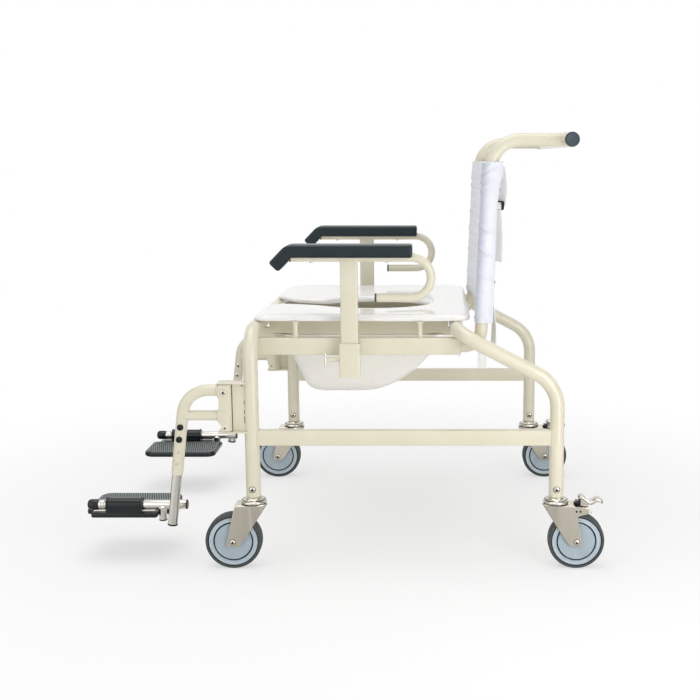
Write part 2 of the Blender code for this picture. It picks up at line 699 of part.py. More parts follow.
def build_sling():
    """A sheet drawn round both uprights, slack in the middle, with soft level folds down the panel."""
    across, depth = sling_section()
    across = np.concatenate([-across[:0:-1], across])
    depth = np.concatenate([depth[:0:-1], depth])
    low = CROSSBAR_HEIGHT + SLING_CLEARANCE
    high = HANDLE_HEIGHT - SLING_TOP_DROP
    levels = np.linspace(low, high, 2 * SLING_FOLDS + 3)
    share = (levels - low) / (high - low)
    folds = SLING_FOLD * np.sin(share * SLING_FOLDS * 2 * math.pi)
    free = np.clip(1 - np.abs(across) / RAIL_X, 0, 1) * (depth < 0)
    along = np.gradient(np.column_stack([across, depth]), axis=0)
    along /= np.linalg.norm(along, axis=1)[:, None]
    normal = np.column_stack([along[:, 1], -along[:, 0]])
    grids = []
    for offset in (SLING_SHEET / 2, -SLING_SHEET / 2):
        x = across + normal[:, 0] * offset
        y = depth + normal[:, 1] * offset
        grid = np.empty((len(levels), len(x), 3))
        grid[:, :, 0] = x
        grid[:, :, 1] = y + np.outer(folds, free) + back_axis_y(levels)[:, None]
        grid[:, :, 2] = levels[:, None]
        grids.append(grid)
    loops = [np.vstack([outer, inner[::-1]]) for outer, inner in zip(*grids)]
    add_object("back_sling", *skin(loops), white_nylon())


def build_strap(name, height, tails):
    """Webbing across the back between the sling's flaps, with loose tails that hang from it."""
    front = back_axis_y(height) + SLING_HALF_DEPTH + SLING_SHEET / 2 + SEAT_GAP
    front += math.tan(BACK_LEAN) * STRAP_WIDTH / 2
    end = RAIL_X - STRAP_INSET
    half = STRAP_WIDTH / 2
    band = prism(box_outline((-end, height - half), (end, height + half)), front, front + STRAP_SHEET, 'Y')
    strap = add_object(name, *band, white_webbing())
    for side, length in zip((1, -1), tails):
        if length:
            middle = end - half
            inside = half - SEAT_GAP
            outline = box_outline((middle - inside, height - length), (middle + inside, height + inside))
            tail = prism(outline, front + STRAP_SHEET / 2, front + 2 * STRAP_SHEET, 'Y')
            combine(strap, add_object(f"{name}_tail_{side_name(side)}", *mirrored(tail, side)), 'UNION')


def seat_outline():
    """The seat from above: a rounded slab whose opening runs out through a slot at the front."""
    half = ARM_X - POST_WIDTH / 2 - SEAT_SIDE_CLEARANCE
    front = SEAT_FRONT_Y
    rear = SEAT_REAR_Y
    slot = SEAT_SLOT / 2
    wide = SEAT_OPENING / 2
    long = SEAT_OPENING_LENGTH / 2
    middle = front + SEAT_OPENING_SETBACK
    corners = [(half, front), (half, rear), (-half, rear), (-half, front)]
    radii = [SEAT_LOBE_CORNER, SEAT_REAR_CORNER, SEAT_REAR_CORNER, SEAT_LOBE_CORNER]
    outside = rounded(corners, radii, 5)
    start = math.asin(slot / wide)
    turn = np.linspace(math.pi - start, -math.pi + start, 29)
    opening = np.column_stack([-wide * np.sin(turn), middle + long * np.cos(turn)])
    bend = np.linspace(0, math.pi / 2, 7)
    flare = np.column_stack([slot + SEAT_SLOT_CORNER * (1 - np.cos(bend)),
                             front + SEAT_SLOT_CORNER * (1 - np.sin(bend))])
    right_mouth = flare[::-1] * np.array([-1.0, 1.0])
    return np.vstack([outside, right_mouth, opening, flare])


def inset(outline, distance):
    """An outline moved inwards by a distance, along its own corners' directions."""
    ahead = np.roll(outline, -1, axis=0) - outline
    behind = outline - np.roll(outline, 1, axis=0)
    ahead /= np.linalg.norm(ahead, axis=1)[:, None]
    behind /= np.linalg.norm(behind, axis=1)[:, None]
    along = ahead + behind
    along /= np.linalg.norm(along, axis=1)[:, None]
    area = np.sum(outline[:, 0] * np.roll(outline[:, 1], -1) - outline[:, 1] * np.roll(outline[:, 0], -1))
    inward = np.column_stack([-along[:, 1], along[:, 0]]) * math.copysign(1, area)
    return outline + inward * distance


def seat_fall(x, y):
    """How far the seat is dished at a place: most at the opening's edge, nothing over the crossbars."""
    middle = SEAT_FRONT_Y + SEAT_OPENING_SETBACK
    away = math.hypot(x / SEAT_OPENING, (y - middle) / SEAT_OPENING_LENGTH)
    clear = min(y - FRONT_LEG_Y, REAR_BAR_Y - y) / SEAT_DISH_EASE
    clear = max(0.0, min(1.0, clear))
    return SEAT_DISH * math.exp(-SEAT_DISH_SPREAD * away ** 2) * clear ** 2 * (3 - 2 * clear)


def build_seat():
    """A moulded seat: edges rounded, front lobes thinned, the whole sheet dished towards its opening."""
    outline = seat_outline()
    front = SEAT_FRONT_Y
    rings = []
    for edge, level in SEAT_EDGE_PROFILE:
        flat = inset(outline, SEAT_EDGE * edge)
        rings.append(np.column_stack([flat, np.full(len(flat), SEAT_FOOT + SEAT_THICKNESS * level)]))
    points, faces = skin(rings)
    seat = add_object("seat", points, faces, white_plastic())
    shape = bmesh.new()
    shape.from_mesh(seat.data)
    stations = [FRONT_LEG_Y, REAR_BAR_Y] + [front + SEAT_LENGTH * share for share in SEAT_STATIONS]
    cuts = [((0, y, 0), (0, 1, 0)) for y in stations]
    cuts += [((x, 0, 0), (1, 0, 0)) for x in SEAT_LANES]
    for place, direction in cuts:
        everything = shape.verts[:] + shape.edges[:] + shape.faces[:]
        bmesh.ops.bisect_plane(shape, geom=everything, plane_co=place, plane_no=direction, dist=1e-6)
    for point in shape.verts:
        share = (point.co.z - SEAT_FOOT) / SEAT_THICKNESS
        ahead = max(0.0, 1 - (point.co.y - front) / SEAT_THINNING_LENGTH)
        point.co.z -= share * SEAT_THICKNESS * SEAT_FRONT_THINNING * ahead ** 2
        point.co.z -= seat_fall(point.co.x, point.co.y)
    shape.to_mesh(seat.data)
    shape.free()
    seat.data.shade_smooth()
    seat.data.set_sharp_from_angle(angle=math.radians(38))


def pan_ring(level, half_width, front, rear, corner):
    """One level of the pan: a rectangle with rounded corners."""
    corners = [(half_width, front), (half_width, rear), (-half_width, rear), (-half_width, front)]
    outline = rounded(corners, corner, 5)
    return np.column_stack([outline, np.full(len(outline), level)])


def build_pan():
    """A moulded pan with a steep front, a long sloping back and a rim that slides in the pan rails."""
    rail_gap = PAN_RAIL_SHEET + 2 * SEAT_GAP
    rim_half = PAN_RAIL_SPACING / 2 - PAN_RAIL_SHEET - RUNNING_GAP * 3
    rim_foot = CROSSBAR_FOOT - SEAT_GAP - PAN_RAIL_HEIGHT + rail_gap
    rim_top = rim_foot + PAN_RIM
    front = FRONT_LEG_Y + PAN_FRONT
    rear = front + PAN_LENGTH
    body = rim_half - max(PAN_RIM_FLANGE, PAN_RAIL_FLANGE)
    floor = rim_top - PAN_DEPTH
    floor_front = front + PAN_FLOOR_FRONT
    floor_rear = floor_front + PAN_FLOOR_LENGTH
    half_floor = PAN_FLOOR_WIDTH / 2

    def wall(share, thickness):
        ease = 1 - (1 - share) ** PAN_BULGE
        return pan_ring(floor + thickness * (1 - share) + (rim_top - floor) * share,
                        half_floor + (body - half_floor) * ease - thickness,
                        floor_front + (front + PAN_RIM_FLANGE - floor_front) * ease + thickness,
                        floor_rear + (rear - PAN_RIM_FLANGE - floor_rear) * ease - thickness, PAN_CORNER)

    def floor_ring(thickness):
        return pan_ring(floor + thickness, half_floor - PAN_FLOOR_ROUND, floor_front + PAN_FLOOR_ROUND,
                        floor_rear - PAN_FLOOR_ROUND, PAN_CORNER)

    rim_share = (rim_foot - floor) / (rim_top - floor)
    rings = [floor_ring(0.0)]
    rings += [wall(share, 0.0) for share in (*PAN_LEVELS, rim_share)]
    rings += [pan_ring(level, rim_half, front, rear, PAN_CORNER) for level in (rim_foot, rim_top)]
    rings += [wall(share, PAN_WALL) for share in (1.0, *reversed(PAN_LEVELS))]
    rings += [floor_ring(PAN_WALL)]
    add_object("commode_pan", *skin(rings), natural_plastic())


def build_armrest(side):
    """A post in a socket on the side rail, a hooked tube on the post and a pad on the tube."""
    label = side_name(side)
    half_x = POST_WIDTH / 2
    half_y = POST_LENGTH_Y / 2
    bore_low = (ARM_X - half_x - SEAT_GAP, ARM_Y - half_y - SEAT_GAP)
    bore_high = (ARM_X + half_x + SEAT_GAP, ARM_Y + half_y + SEAT_GAP)
    inner = box_outline(bore_low, bore_high, POST_CORNER)
    outer = box_outline((bore_low[0] - SOCKET_WALL, bore_low[1] - SOCKET_WALL),
                        (bore_high[0] + SOCKET_WALL, bore_high[1] + SOCKET_WALL), POST_CORNER + SOCKET_WALL / 2)
    section = hollow_section(outer, inner, SOCKET_FOOT, SOCKET_TOP, 'Z')
    socket = add_object("armrest_socket_" + label, *mirrored(section, side), cream_enamel())
    face = bore_low[1] - SOCKET_WALL
    mouth = face - PLUNGER_HOUSING_LENGTH
    housing = straight((ARM_X, face + WELD_SINK, PLUNGER_Z), (ARM_X, mouth, PLUNGER_Z), PLUNGER_HOUSING / 2)
    combine(socket, add_object(socket.name + "_housing", *mirrored(housing, side)), 'UNION')
    hole = straight((ARM_X, ARM_Y, PLUNGER_Z), (ARM_X, mouth - SOCKET_WALL, PLUNGER_Z),
                    PLUNGER_RADIUS + RUNNING_GAP)
    combine(socket, add_object(socket.name + "_hole", *mirrored(hole, side)), 'DIFFERENCE')

    axis = add_empty("lock_plunger_axis_" + label, (side * ARM_X, mouth, PLUNGER_Z))
    bar_y = -PLUNGER_STAND - PLUNGER_BAR / 2
    pin = straight((0, bore_low[1] - mouth, 0), (0, bar_y, 0), PLUNGER_RADIUS, SMALL_SIDES)
    plunger = add_object("lock_plunger_" + label, *pin, stainless_steel())
    pull = straight((0, bar_y, -PLUNGER_BAR_LENGTH / 2), (0, bar_y, PLUNGER_BAR_LENGTH / 2), PLUNGER_BAR / 2)
    pull_bar = add_object(plunger.name + "_bar", *pull)
    combine(plunger, pull_bar, 'UNION')
    plunger.parent = axis
    pull_bar.parent = axis

    axis = add_empty("armrest_axis_" + label, (side * ARM_X, ARM_Y, SOCKET_FOOT))
    rise = ARM_TUBE_HEIGHT - SOCKET_FOOT
    post = prism(box_outline((-half_x, -half_y), (half_x, half_y), POST_CORNER), POST_FOOT_INSET, rise, 'Z')
    frame = add_object("armrest_frame_" + label, *post, cream_enamel())
    drop = 2 * ARM_HOOK_RADIUS
    far = ARM_HOOK_CENTRE + ARM_HOOK_RADIUS
    corners = [(0, -ARM_TUBE_FRONT, rise), (0, far, rise), (0, far, rise - drop),
               (0, ARM_HOOK_RETURN, rise - drop)]
    path = rounded(corners, [0, ARM_HOOK_RADIUS, ARM_HOOK_RADIUS - ARM_HOOK_FLAT, 0], BEND_STEPS, closed=False)
    hook = add_object(frame.name + "_hook", *tube(path, ARM_TUBE / 2, SMALL_SIDES))
    combine(frame, hook, 'UNION')
    frame.parent = axis
    hook.parent = axis

    pad = add_object("armrest_pad_" + label, *arm_pad(rise), slate_foam())
    groove = straight((0, -ARM_TUBE_FRONT - PAD_GROOVE_LEAD, rise), (0, PAD_REAR + PAD_THICKNESS, rise),
                      ARM_TUBE / 2 + SEAT_GAP)
    bed = add_object(pad.name + "_groove", *groove)
    combine(pad, bed, 'DIFFERENCE')
    pad.parent = axis
    bed.parent = axis


def arm_pad(rise):
    """A foam pad: a crowned cross-section carried from the rear end to the bent-down nose."""
    half = PAD_WIDTH / 2
    base = [(-half, 0), (half, 0), (half, PAD_THICKNESS - PAD_CROWN), (0, PAD_THICKNESS),
            (-half, PAD_THICKNESS - PAD_CROWN)]
    section = rounded(base, [PAD_EDGE / 2, PAD_EDGE / 2, PAD_EDGE, 0, PAD_EDGE], 3)
    middle = np.array([0.0, PAD_THICKNESS / 2])
    nose_y = -PAD_FRONT
    half_turn = PAD_NOSE_ANGLE / 2
    stations = [(PAD_REAR - PAD_END * share, 0.0, 0.0, size) for share, size in PAD_END_PROFILE]
    stations += [(0.0, 0.0, 0.0, 1.0), (nose_y + PAD_BEND, 0.0, 0.0, 1.0), (nose_y, 0.0, half_turn, 1.0)]
    nose = [(PAD_NOSE - PAD_END * share, size) for share, size in PAD_END_PROFILE]
    for reach, size in [(PAD_BEND, 1.0)] + nose[::-1]:
        stations.append((nose_y - reach * math.cos(PAD_NOSE_ANGLE), -reach * math.sin(PAD_NOSE_ANGLE),
                         PAD_NOSE_ANGLE, size))
    rings = []
    for y, z, angle, size in stations:
        flat = middle + (section - middle) * size
        up = flat[:, 1] - PAD_THICKNESS
        if angle == half_turn:
            up = up / math.cos(half_turn)
        rings.append(np.column_stack([flat[:, 0], y - up * math.sin(angle),
                                      rise + PAD_THICKNESS + z + up * math.cos(angle)]))
    return skin(rings)


def fork_outline(low, high, ears):
    """The fork plate from the side: a leaning front edge, a short foot and a long slanted back edge."""
    toe = -TRAIL - FORK_FOOT_LEAD
    corners = [(toe, low), (toe + FORK_FOOT_LENGTH, low), (FORK_BACK, high)]
    radii = [FORK_CORNER, FORK_CORNER, 0]
    if ears:
        pivot = CROWN_TOP - PEDAL_PIVOT_DROP
        tip = -PEDAL_PIVOT_REACH - PEDAL_EAR
        root = (-FORK_TOP_REACH - PEDAL_EAR_ROOT, pivot - PEDAL_EAR_DEPTH)
        corners += [(tip, high), (tip, pivot - PEDAL_EAR), root]
        radii += [PEDAL_EAR_CORNER, PEDAL_EAR_CORNER, PEDAL_EAR_FILLET]
    else:
        corners.append((-FORK_TOP_REACH, high))
        radii.append(0)
    return rounded(corners, radii)


def crown_outline(half, back, front):
    """The fork from above: parallel sides, round at the back."""
    turn = np.linspace(0, math.pi, 9)
    arc = np.column_stack([half * np.cos(turn), (back - half) + half * np.sin(turn)])
    return np.vstack([arc, [(-half, front), (half, front)]])


def build_caster(place, side, y, turn, braked):
    """A swivel caster: stem and bearing race, pressed fork, axle, hub and tyre, and a lock pedal if braked."""
    label = f"{place}_{side_name(side)}"
    swivel = add_empty("caster_swivel_" + label, (side * LEG_X, y, 0), turn)

    collar = CASTER_HEIGHT - COLLAR_DEPTH
    stem = [(STEM_RADIUS, CASTER_HEIGHT + STEM_LENGTH), (STEM_RADIUS, CASTER_HEIGHT - SEAT_GAP),
            (COLLAR_RADIUS, CASTER_HEIGHT - SEAT_GAP), (COLLAR_RADIUS, collar),
            (RACE_RADIUS - RACE_ROUND, collar - RACE_SHOULDER), (RACE_RADIUS, collar - RACE_SHOULDER * 3),
            (RACE_RADIUS, CROWN_TOP + SEAT_GAP), (KINGPIN_RADIUS, CROWN_TOP + SEAT_GAP),
            (KINGPIN_RADIUS, CROWN_TOP - FORK_SHEET - SEAT_GAP),
            (KINGPIN_HEAD_RADIUS, CROWN_TOP - FORK_SHEET - SEAT_GAP),
            (KINGPIN_HEAD_RADIUS * HEAD_TAPER, CROWN_TOP - FORK_SHEET - KINGPIN_HEAD)]
    piece = add_object("caster_stem_" + label, *turned(stem, FRAME_SIDES, 'Z'), nickel_plate())
    piece.parent = swivel

    inner_half = TYRE_WIDTH / 2 + FORK_SIDE_GAP
    outer_half = inner_half + FORK_SHEET
    low = WHEEL_RADIUS - FORK_FOOT
    far = -TRAIL * 3
    body = prism(crown_outline(outer_half, FORK_BACK, far), low - FORK_SHEET, CROWN_TOP, 'Z')
    fork = add_object("caster_fork_" + label, *body, nickel_plate())
    fork.parent = swivel
    profile = prism(fork_outline(low, CROWN_TOP, braked), -outer_half * 2, outer_half * 2, 'X')
    well = prism(crown_outline(inner_half, FORK_BACK - FORK_SHEET, far * 1.1), low - FORK_SHEET * 2,
                 CROWN_TOP - FORK_SHEET, 'Z')
    kingpin = straight((0, 0, CROWN_TOP - FORK_SHEET * 3), (0, 0, CROWN_TOP + FORK_SHEET),
                       KINGPIN_RADIUS + RUNNING_GAP)
    axle_hole = straight((-outer_half * 2, -TRAIL, WHEEL_RADIUS), (outer_half * 2, -TRAIL, WHEEL_RADIUS),
                         AXLE_RADIUS + SEAT_GAP)
    tools = [("profile", profile, 'INTERSECT'), ("well", well, 'DIFFERENCE'),
             ("kingpin_hole", kingpin, 'DIFFERENCE'), ("axle_hole", axle_hole, 'DIFFERENCE')]
    pivot_y = -PEDAL_PIVOT_REACH
    pivot_z = CROWN_TOP - PEDAL_PIVOT_DROP
    if braked:
        window = prism(box_outline((-inner_half, far), (inner_half, -FORK_TOP_REACH)),
                       CROWN_TOP - FORK_SHEET * 2, CROWN_TOP + FORK_SHEET, 'Z')
        pivot_hole = straight((-outer_half * 2, pivot_y, pivot_z), (outer_half * 2, pivot_y, pivot_z),
                              PEDAL_PIVOT_RADIUS + RUNNING_GAP)
        tools += [("pedal_window", window, 'DIFFERENCE'), ("pivot_hole", pivot_hole, 'DIFFERENCE')]
    for name, shape, operation in tools:
        tool = add_object(f"{fork.name}_{name}", *shape)
        tool.parent = swivel
        combine(fork, tool, operation)

    axle_place = (0, -TRAIL, WHEEL_RADIUS)
    reach = outer_half + SEAT_GAP
    head = AXLE_HEAD_RADIUS
    axle = [(head * HEAD_TAPER, -reach - AXLE_HEAD), (head, -reach), (AXLE_RADIUS, -reach),
            (AXLE_RADIUS, reach), (head, reach), (head * HEAD_TAPER, reach + AXLE_HEAD)]
    piece = add_object("caster_axle_" + label, *turned(axle, SMALL_SIDES, 'X'), stainless_steel())
    piece.parent = swivel
    piece.location = axle_place

    rim = WHEEL_RADIUS - TYRE_DEPTH
    bore = AXLE_RADIUS + RUNNING_GAP
    face = HUB_WIDTH / 2
    boss = inner_half - RUNNING_GAP
    groove = HUB_GROOVE / 2
    half_hub = [(bore, boss), (HUB_BOSS_RADIUS * HEAD_TAPER, boss), (HUB_BOSS_RADIUS, face),
                (HUB_GROOVE_RADIUS - groove, face), (HUB_GROOVE_RADIUS, face - HUB_GROOVE),
                (HUB_GROOVE_RADIUS + groove, face), (rim, face)]
    hub = half_hub + [(radius, -along) for radius, along in reversed(half_hub)]
    piece = add_object("wheel_hub_" + label, *turned(hub, WHEEL_SIDES, 'X', ring=True, outside=True),
                       wheel_plastic())
    piece.parent = swivel
    piece.location = axle_place

    seat = rim + SEAT_GAP
    shoulder = TYRE_WIDTH / 2
    half_tyre = [(seat, shoulder - TYRE_BEVEL), (seat + TYRE_BEVEL, shoulder),
                 (WHEEL_RADIUS - TYRE_ROUND, shoulder), (WHEEL_RADIUS, TREAD_FLAT / 2)]
    tyre = half_tyre + [(radius, -along) for radius, along in reversed(half_tyre)]
    piece = add_object("tyre_" + label, *turned(tyre, WHEEL_SIDES, 'X', ring=True, outside=True), grey_rubber())
    piece.parent = swivel
    piece.location = axle_place

    if braked:
        build_pedal(label, swivel, (0, pivot_y, pivot_z), outer_half)


def build_pedal(label, swivel, pivot, outer_half):
    """A rocker on the fork's ears: a tread plate of two lobes, a web, a pivot pin and a shoe over the tyre."""
    half = PEDAL_WIDTH / 2
    sheet = PEDAL_SHEET
    reach = np.linspace(PEDAL_HEEL, -PEDAL_TOE, 9)
    from_crest = reach - PEDAL_CREST
    level = PEDAL_RISE + PEDAL_SLOPE * from_crest
    level = level + PEDAL_LOBE * np.cos(2 * math.pi * from_crest / PEDAL_LOBE_PITCH)
    top = np.column_stack([reach, level])
    under = np.column_stack([reach, level - sheet])[::-1]
    tread = prism(np.vstack([top, under]), -half, half, 'X')
    pedal = add_object("brake_pedal_" + label, *tread, nickel_plate())
    web_top = PEDAL_RISE - sheet / 2
    web_end = web_top - PEDAL_SLOPE * PEDAL_WEB_TOE - sheet
    corners = [(PEDAL_CREST, web_top), (-PEDAL_WEB_TOE, web_end), (-PEDAL_WEB_TOE / 2, -PEDAL_WEB_DROP),
               (PEDAL_CREST, -PEDAL_WEB_DROP)]
    web = prism(rounded(corners, PEDAL_WEB_CORNER), -PEDAL_WEB_WIDTH / 2, PEDAL_WEB_WIDTH / 2, 'X')
    pin = straight((-outer_half + RUNNING_GAP, 0, 0), (outer_half - RUNNING_GAP, 0, 0), PEDAL_PIVOT_RADIUS)
    offset = TRAIL - (PEDAL_PIVOT_REACH + SHOE_REACH)
    tyre_top = math.sqrt((WHEEL_RADIUS + SHOE_LIFT) ** 2 - offset ** 2) + WHEEL_RADIUS - pivot[2]
    shoe = prism([(-SHOE_REACH - sheet, tyre_top), (-SHOE_REACH + sheet, tyre_top + sheet / 2),
                  (-PEDAL_WEB_DROP, -sheet), (-SHOE_ROOT, sheet)], -SHOE_WIDTH / 2, SHOE_WIDTH / 2, 'X')
    for name, shape in (("web", web), ("pin", pin), ("shoe", shoe)):
        tool = add_object(f"{pedal.name}_{name}", *shape)
        tool.parent = swivel
        tool.location = pivot
        combine(pedal, tool, 'UNION')
    pedal.parent = swivel
    pedal.location = pivot


def build_hanger_bracket(side):
    """A folded plate with two ears and a hinge pin between them, welded to the front of the leg."""
    name = "hanger_bracket_" + side_name(side)
    corner = (HINGE_SLEEVE / 2 - HINGE_SLEEVE_CORNER) * math.sqrt(2) + HINGE_SLEEVE_CORNER
    plate_out = HINGE_X - corner - BRACKET_CLEARANCE
    plate_in = plate_out - BRACKET_SHEET
    front = HINGE_Y - BRACKET_EAR
    rear = FRONT_LEG_Y - FRAME_RADIUS + BRACKET_LAP
    plate = prism(box_outline((plate_in, front), (plate_out, rear)), BRACKET_LOW, BRACKET_HIGH, 'Z')
    bracket = add_object(name, *mirrored(plate, side), cream_enamel())
    outline = rounded([(plate_in + BRACKET_SHEET / 2, front), (HINGE_X + BRACKET_EAR, front),
                       (HINGE_X + BRACKET_EAR, rear), (plate_in + BRACKET_SHEET / 2, rear)],
                      [0, HINGE_SLEEVE_CORNER, 0, 0])
    high_ear = prism(outline, BRACKET_HIGH - BRACKET_SHEET, BRACKET_HIGH, 'Z')
    low_ear = prism(outline, BRACKET_LOW, BRACKET_LOW + BRACKET_SHEET, 'Z')
    sink = BRACKET_SHEET / 2
    pin = straight((HINGE_X, HINGE_Y, BRACKET_LOW + sink), (HINGE_X, HINGE_Y, BRACKET_HIGH - sink),
                   HINGE_PIN_RADIUS)
    leg = straight((LEG_X, FRONT_LEG_Y, BRACKET_LOW - sink), (LEG_X, FRONT_LEG_Y, BRACKET_HIGH + sink),
                   FRAME_RADIUS + SEAT_GAP, FRAME_SIDES)
    for label, shape, operation in (("high_ear", high_ear, 'UNION'), ("low_ear", low_ear, 'UNION'),
                                    ("pin", pin, 'UNION'), ("leg", leg, 'DIFFERENCE')):
        combine(bracket, add_object(f"{name}_{label}", *mirrored(shape, side)), operation)


def build_footrest(side):
    """A hanger that swings on the bracket, an extension that slides in it and a plate that flips on its bar."""
    label = side_name(side)
    hinge = add_empty("footrest_hinge_" + label, (side * HINGE_X, HINGE_Y, 0))
    half = HINGE_SLEEVE / 2
    low = BRACKET_LOW + BRACKET_SHEET + SEAT_GAP
    high = BRACKET_HIGH - BRACKET_SHEET - SEAT_GAP
    sleeve = prism(box_outline((-half, -half), (half, half), HINGE_SLEEVE_CORNER), low, high, 'Z')
    hanger = add_object("footrest_hanger_" + label, *sleeve, cream_enamel())
    weld = -half + WELD_SINK

    def lower_axis(height):
        return (0.0, hanger_axis_y(height) - HINGE_Y, height)

    corners = [(0, weld, HANGER_Z), (0, -HANGER_REACH, HANGER_Z), lower_axis(HANGER_FOOT)]
    path = rounded(corners, [0, HANGER_BEND, 0], BEND_STEPS, closed=False)
    lean = math.cos(HANGER_LEAN)
    arm = tube(path, HANGER_TUBE / 2, FRAME_SIDES, EXTENSION_TUBE / 2 + SEAT_GAP,
               (0.0, EXTENSION_INSERT + SEAT_GAP))
    brace_z = BRACKET_HIGH - HANGER_BRACE_DROP
    brace = straight((0, weld, brace_z), lower_axis(brace_z), HANGER_BRACE / 2, SMALL_SIDES)
    bore = straight((0, 0, low - half), (0, 0, high + half), HINGE_PIN_RADIUS + RUNNING_GAP)
    for name, shape, operation in (("arm", arm, 'UNION'), ("brace", brace, 'UNION'),
                                   ("bore", bore, 'DIFFERENCE')):
        tool = add_object(f"{hanger.name}_{name}", *shape)
        tool.parent = hinge
        combine(hanger, tool, operation)
    hanger.parent = hinge

    inside = -side * FOOT_BAR_INSET
    bar_y = hanger_axis_y(FOOT_BAR_HEIGHT) - HINGE_Y
    top = HANGER_FOOT + EXTENSION_INSERT * lean
    rod = straight(lower_axis(top), lower_axis(EXTENSION_FOOT), EXTENSION_TUBE / 2, FRAME_SIDES)
    extension = add_object("footrest_extension_" + label, *rod, stainless_steel())
    rear = FOOT_BAR_REAR_Y - HINGE_Y
    front = rear - FOOT_BAR_LENGTH
    radius = FOOT_BAR / 2
    profile = [(FOOT_GRIP_RADIUS - FOOT_GRIP_BEVEL, front), (FOOT_GRIP_RADIUS, front + FOOT_GRIP_BEVEL),
               (FOOT_GRIP_RADIUS, front + FOOT_GRIP_LENGTH), (radius, front + FOOT_GRIP_LENGTH), (radius, rear)]
    points, faces = turned(profile, FRAME_SIDES, 'Y')
    bar = (points + np.array([inside, 0.0, FOOT_BAR_HEIGHT]), faces)
    link = straight((0, bar_y, FOOT_BAR_HEIGHT), (inside, bar_y, FOOT_BAR_HEIGHT), FOOT_LINK / 2)
    stub_y = bar_y - STUB_SETBACK
    stub = straight((inside, stub_y, FOOT_BAR_HEIGHT), (inside, stub_y, FOOT_BAR_HEIGHT - STUB_LENGTH),
                    STUB_RADIUS)
    for name, shape in (("bar", bar), ("link", link), ("stub", stub)):
        tool = add_object(f"{extension.name}_{name}", *shape)
        tool.parent = hinge
        combine(extension, tool, 'UNION')
    extension.parent = hinge

    flip = add_empty("footplate_axis_" + label, (side * FOOT_BAR_X, PLATE_FRONT_Y, FOOT_BAR_HEIGHT))
    stub_edge = HINGE_Y + stub_y - STUB_RADIUS - PLATE_FRONT_Y
    build_footplate(label, side, flip, stub_edge)


def build_footplate(label, side, flip, stub_edge):
    """A ribbed-rim plate under its clamp, which turns on the foot bar; a notch clears the stop stub."""
    high = -PLATE_TOP_DROP
    low = high - PLATE_THICKNESS
    notch_x = -STUB_RADIUS - PLATE_STUB_CLEARANCE
    flange_rear = stub_edge - PLATE_STUB_CLEARANCE
    corners = [(-PLATE_INBOARD, 0), (notch_x, 0), (notch_x, PLATE_FLANGE_SHORT),
               (PLATE_OUTBOARD, PLATE_FLANGE_SHORT), (PLATE_OUTBOARD, flange_rear), (notch_x, flange_rear),
               (notch_x, PLATE_LENGTH), (-PLATE_INBOARD, PLATE_LENGTH)]
    soft = PLATE_CORNER
    small = PLATE_NOTCH_CORNER
    outline = rounded(corners, [soft, small, 0, small, small, 0, small, soft])
    plate = add_object("footplate_" + label, *mirrored(prism(outline, low, high, 'Z'), side), black_plastic())
    radius = FOOT_BAR / 2 + RUNNING_GAP + CLAMP_WALL
    turn = np.linspace(-CLAMP_WRAP, math.pi + CLAMP_WRAP, 9)
    crown = np.column_stack([radius * np.cos(turn), radius * np.sin(turn)])
    skirt = [(-radius, low + PLATE_THICKNESS / 2), (PLATE_OUTBOARD - WELD_SINK / 2, low + PLATE_THICKNESS / 2)]
    clamp = prism(np.vstack([crown, skirt]), CLAMP_FRONT, CLAMP_FRONT + CLAMP_LENGTH, 'Y')
    bore = straight((0, CLAMP_FRONT - CLAMP_WALL, 0), (0, CLAMP_FRONT + CLAMP_LENGTH + CLAMP_WALL, 0),
                    FOOT_BAR / 2 + RUNNING_GAP, FRAME_SIDES)
    for name, shape, operation in (("clamp", clamp, 'UNION'), ("bore", bore, 'DIFFERENCE')):
        tool = add_object(f"{plate.name}_{name}", *mirrored(shape, side))
        tool.parent = flip
        combine(plate, tool, operation)
    plate.parent = flip


for thing in list(bpy.data.objects):
    bpy.data.objects.remove(thing)

build_hoops()
build_push_handle()
build_sling()
build_strap("back_strap_upper", UPPER_STRAP_Z, (UPPER_TAIL, 0.0))
build_strap("back_strap_lower", LOWER_STRAP_Z, LOWER_TAILS)
build_seat()
build_pan()
for SIDE in (1, -1):
    build_side_rail(SIDE)
    build_lower_rail(SIDE)
    build_pan_rail(SIDE)
    build_back_upright(SIDE)
    build_armrest(SIDE)
    build_hanger_bracket(SIDE)
    build_footrest(SIDE)
    build_caster("front", SIDE, FRONT_LEG_Y, 0.0, False)
    build_caster("rear", SIDE, REAR_LEG_Y, math.pi, True)
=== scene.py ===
"""Looks of the bariatric shower chair: every visible surface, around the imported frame.

Metres, +Z up. The sitter faces -Y and the sitter's left is +X, the side nearest the camera.
"""

import math

import bmesh
import bpy
import numpy as np
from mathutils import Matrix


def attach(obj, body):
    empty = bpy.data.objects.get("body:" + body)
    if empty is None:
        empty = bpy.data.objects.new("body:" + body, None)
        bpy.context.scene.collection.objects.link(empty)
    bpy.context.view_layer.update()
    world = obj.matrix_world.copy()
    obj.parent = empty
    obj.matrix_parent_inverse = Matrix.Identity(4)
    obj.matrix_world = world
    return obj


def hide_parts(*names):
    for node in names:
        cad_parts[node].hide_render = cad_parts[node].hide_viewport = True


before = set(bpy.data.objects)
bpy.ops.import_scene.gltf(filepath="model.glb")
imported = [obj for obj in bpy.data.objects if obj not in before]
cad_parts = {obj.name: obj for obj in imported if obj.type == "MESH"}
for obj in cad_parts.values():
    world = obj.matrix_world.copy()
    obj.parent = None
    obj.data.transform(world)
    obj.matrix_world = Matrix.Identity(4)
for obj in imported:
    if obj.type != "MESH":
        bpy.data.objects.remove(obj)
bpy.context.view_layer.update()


# Studio: a white paper sweep under soft light, seen from the sitter's left and a little above. To the eye, floor and
# sky are plain white; a mirror sees bright screens, a dim room and white paper in them, as in a photographer's studio.
WHITE = (1.0, 1.0, 1.0, 1.0)
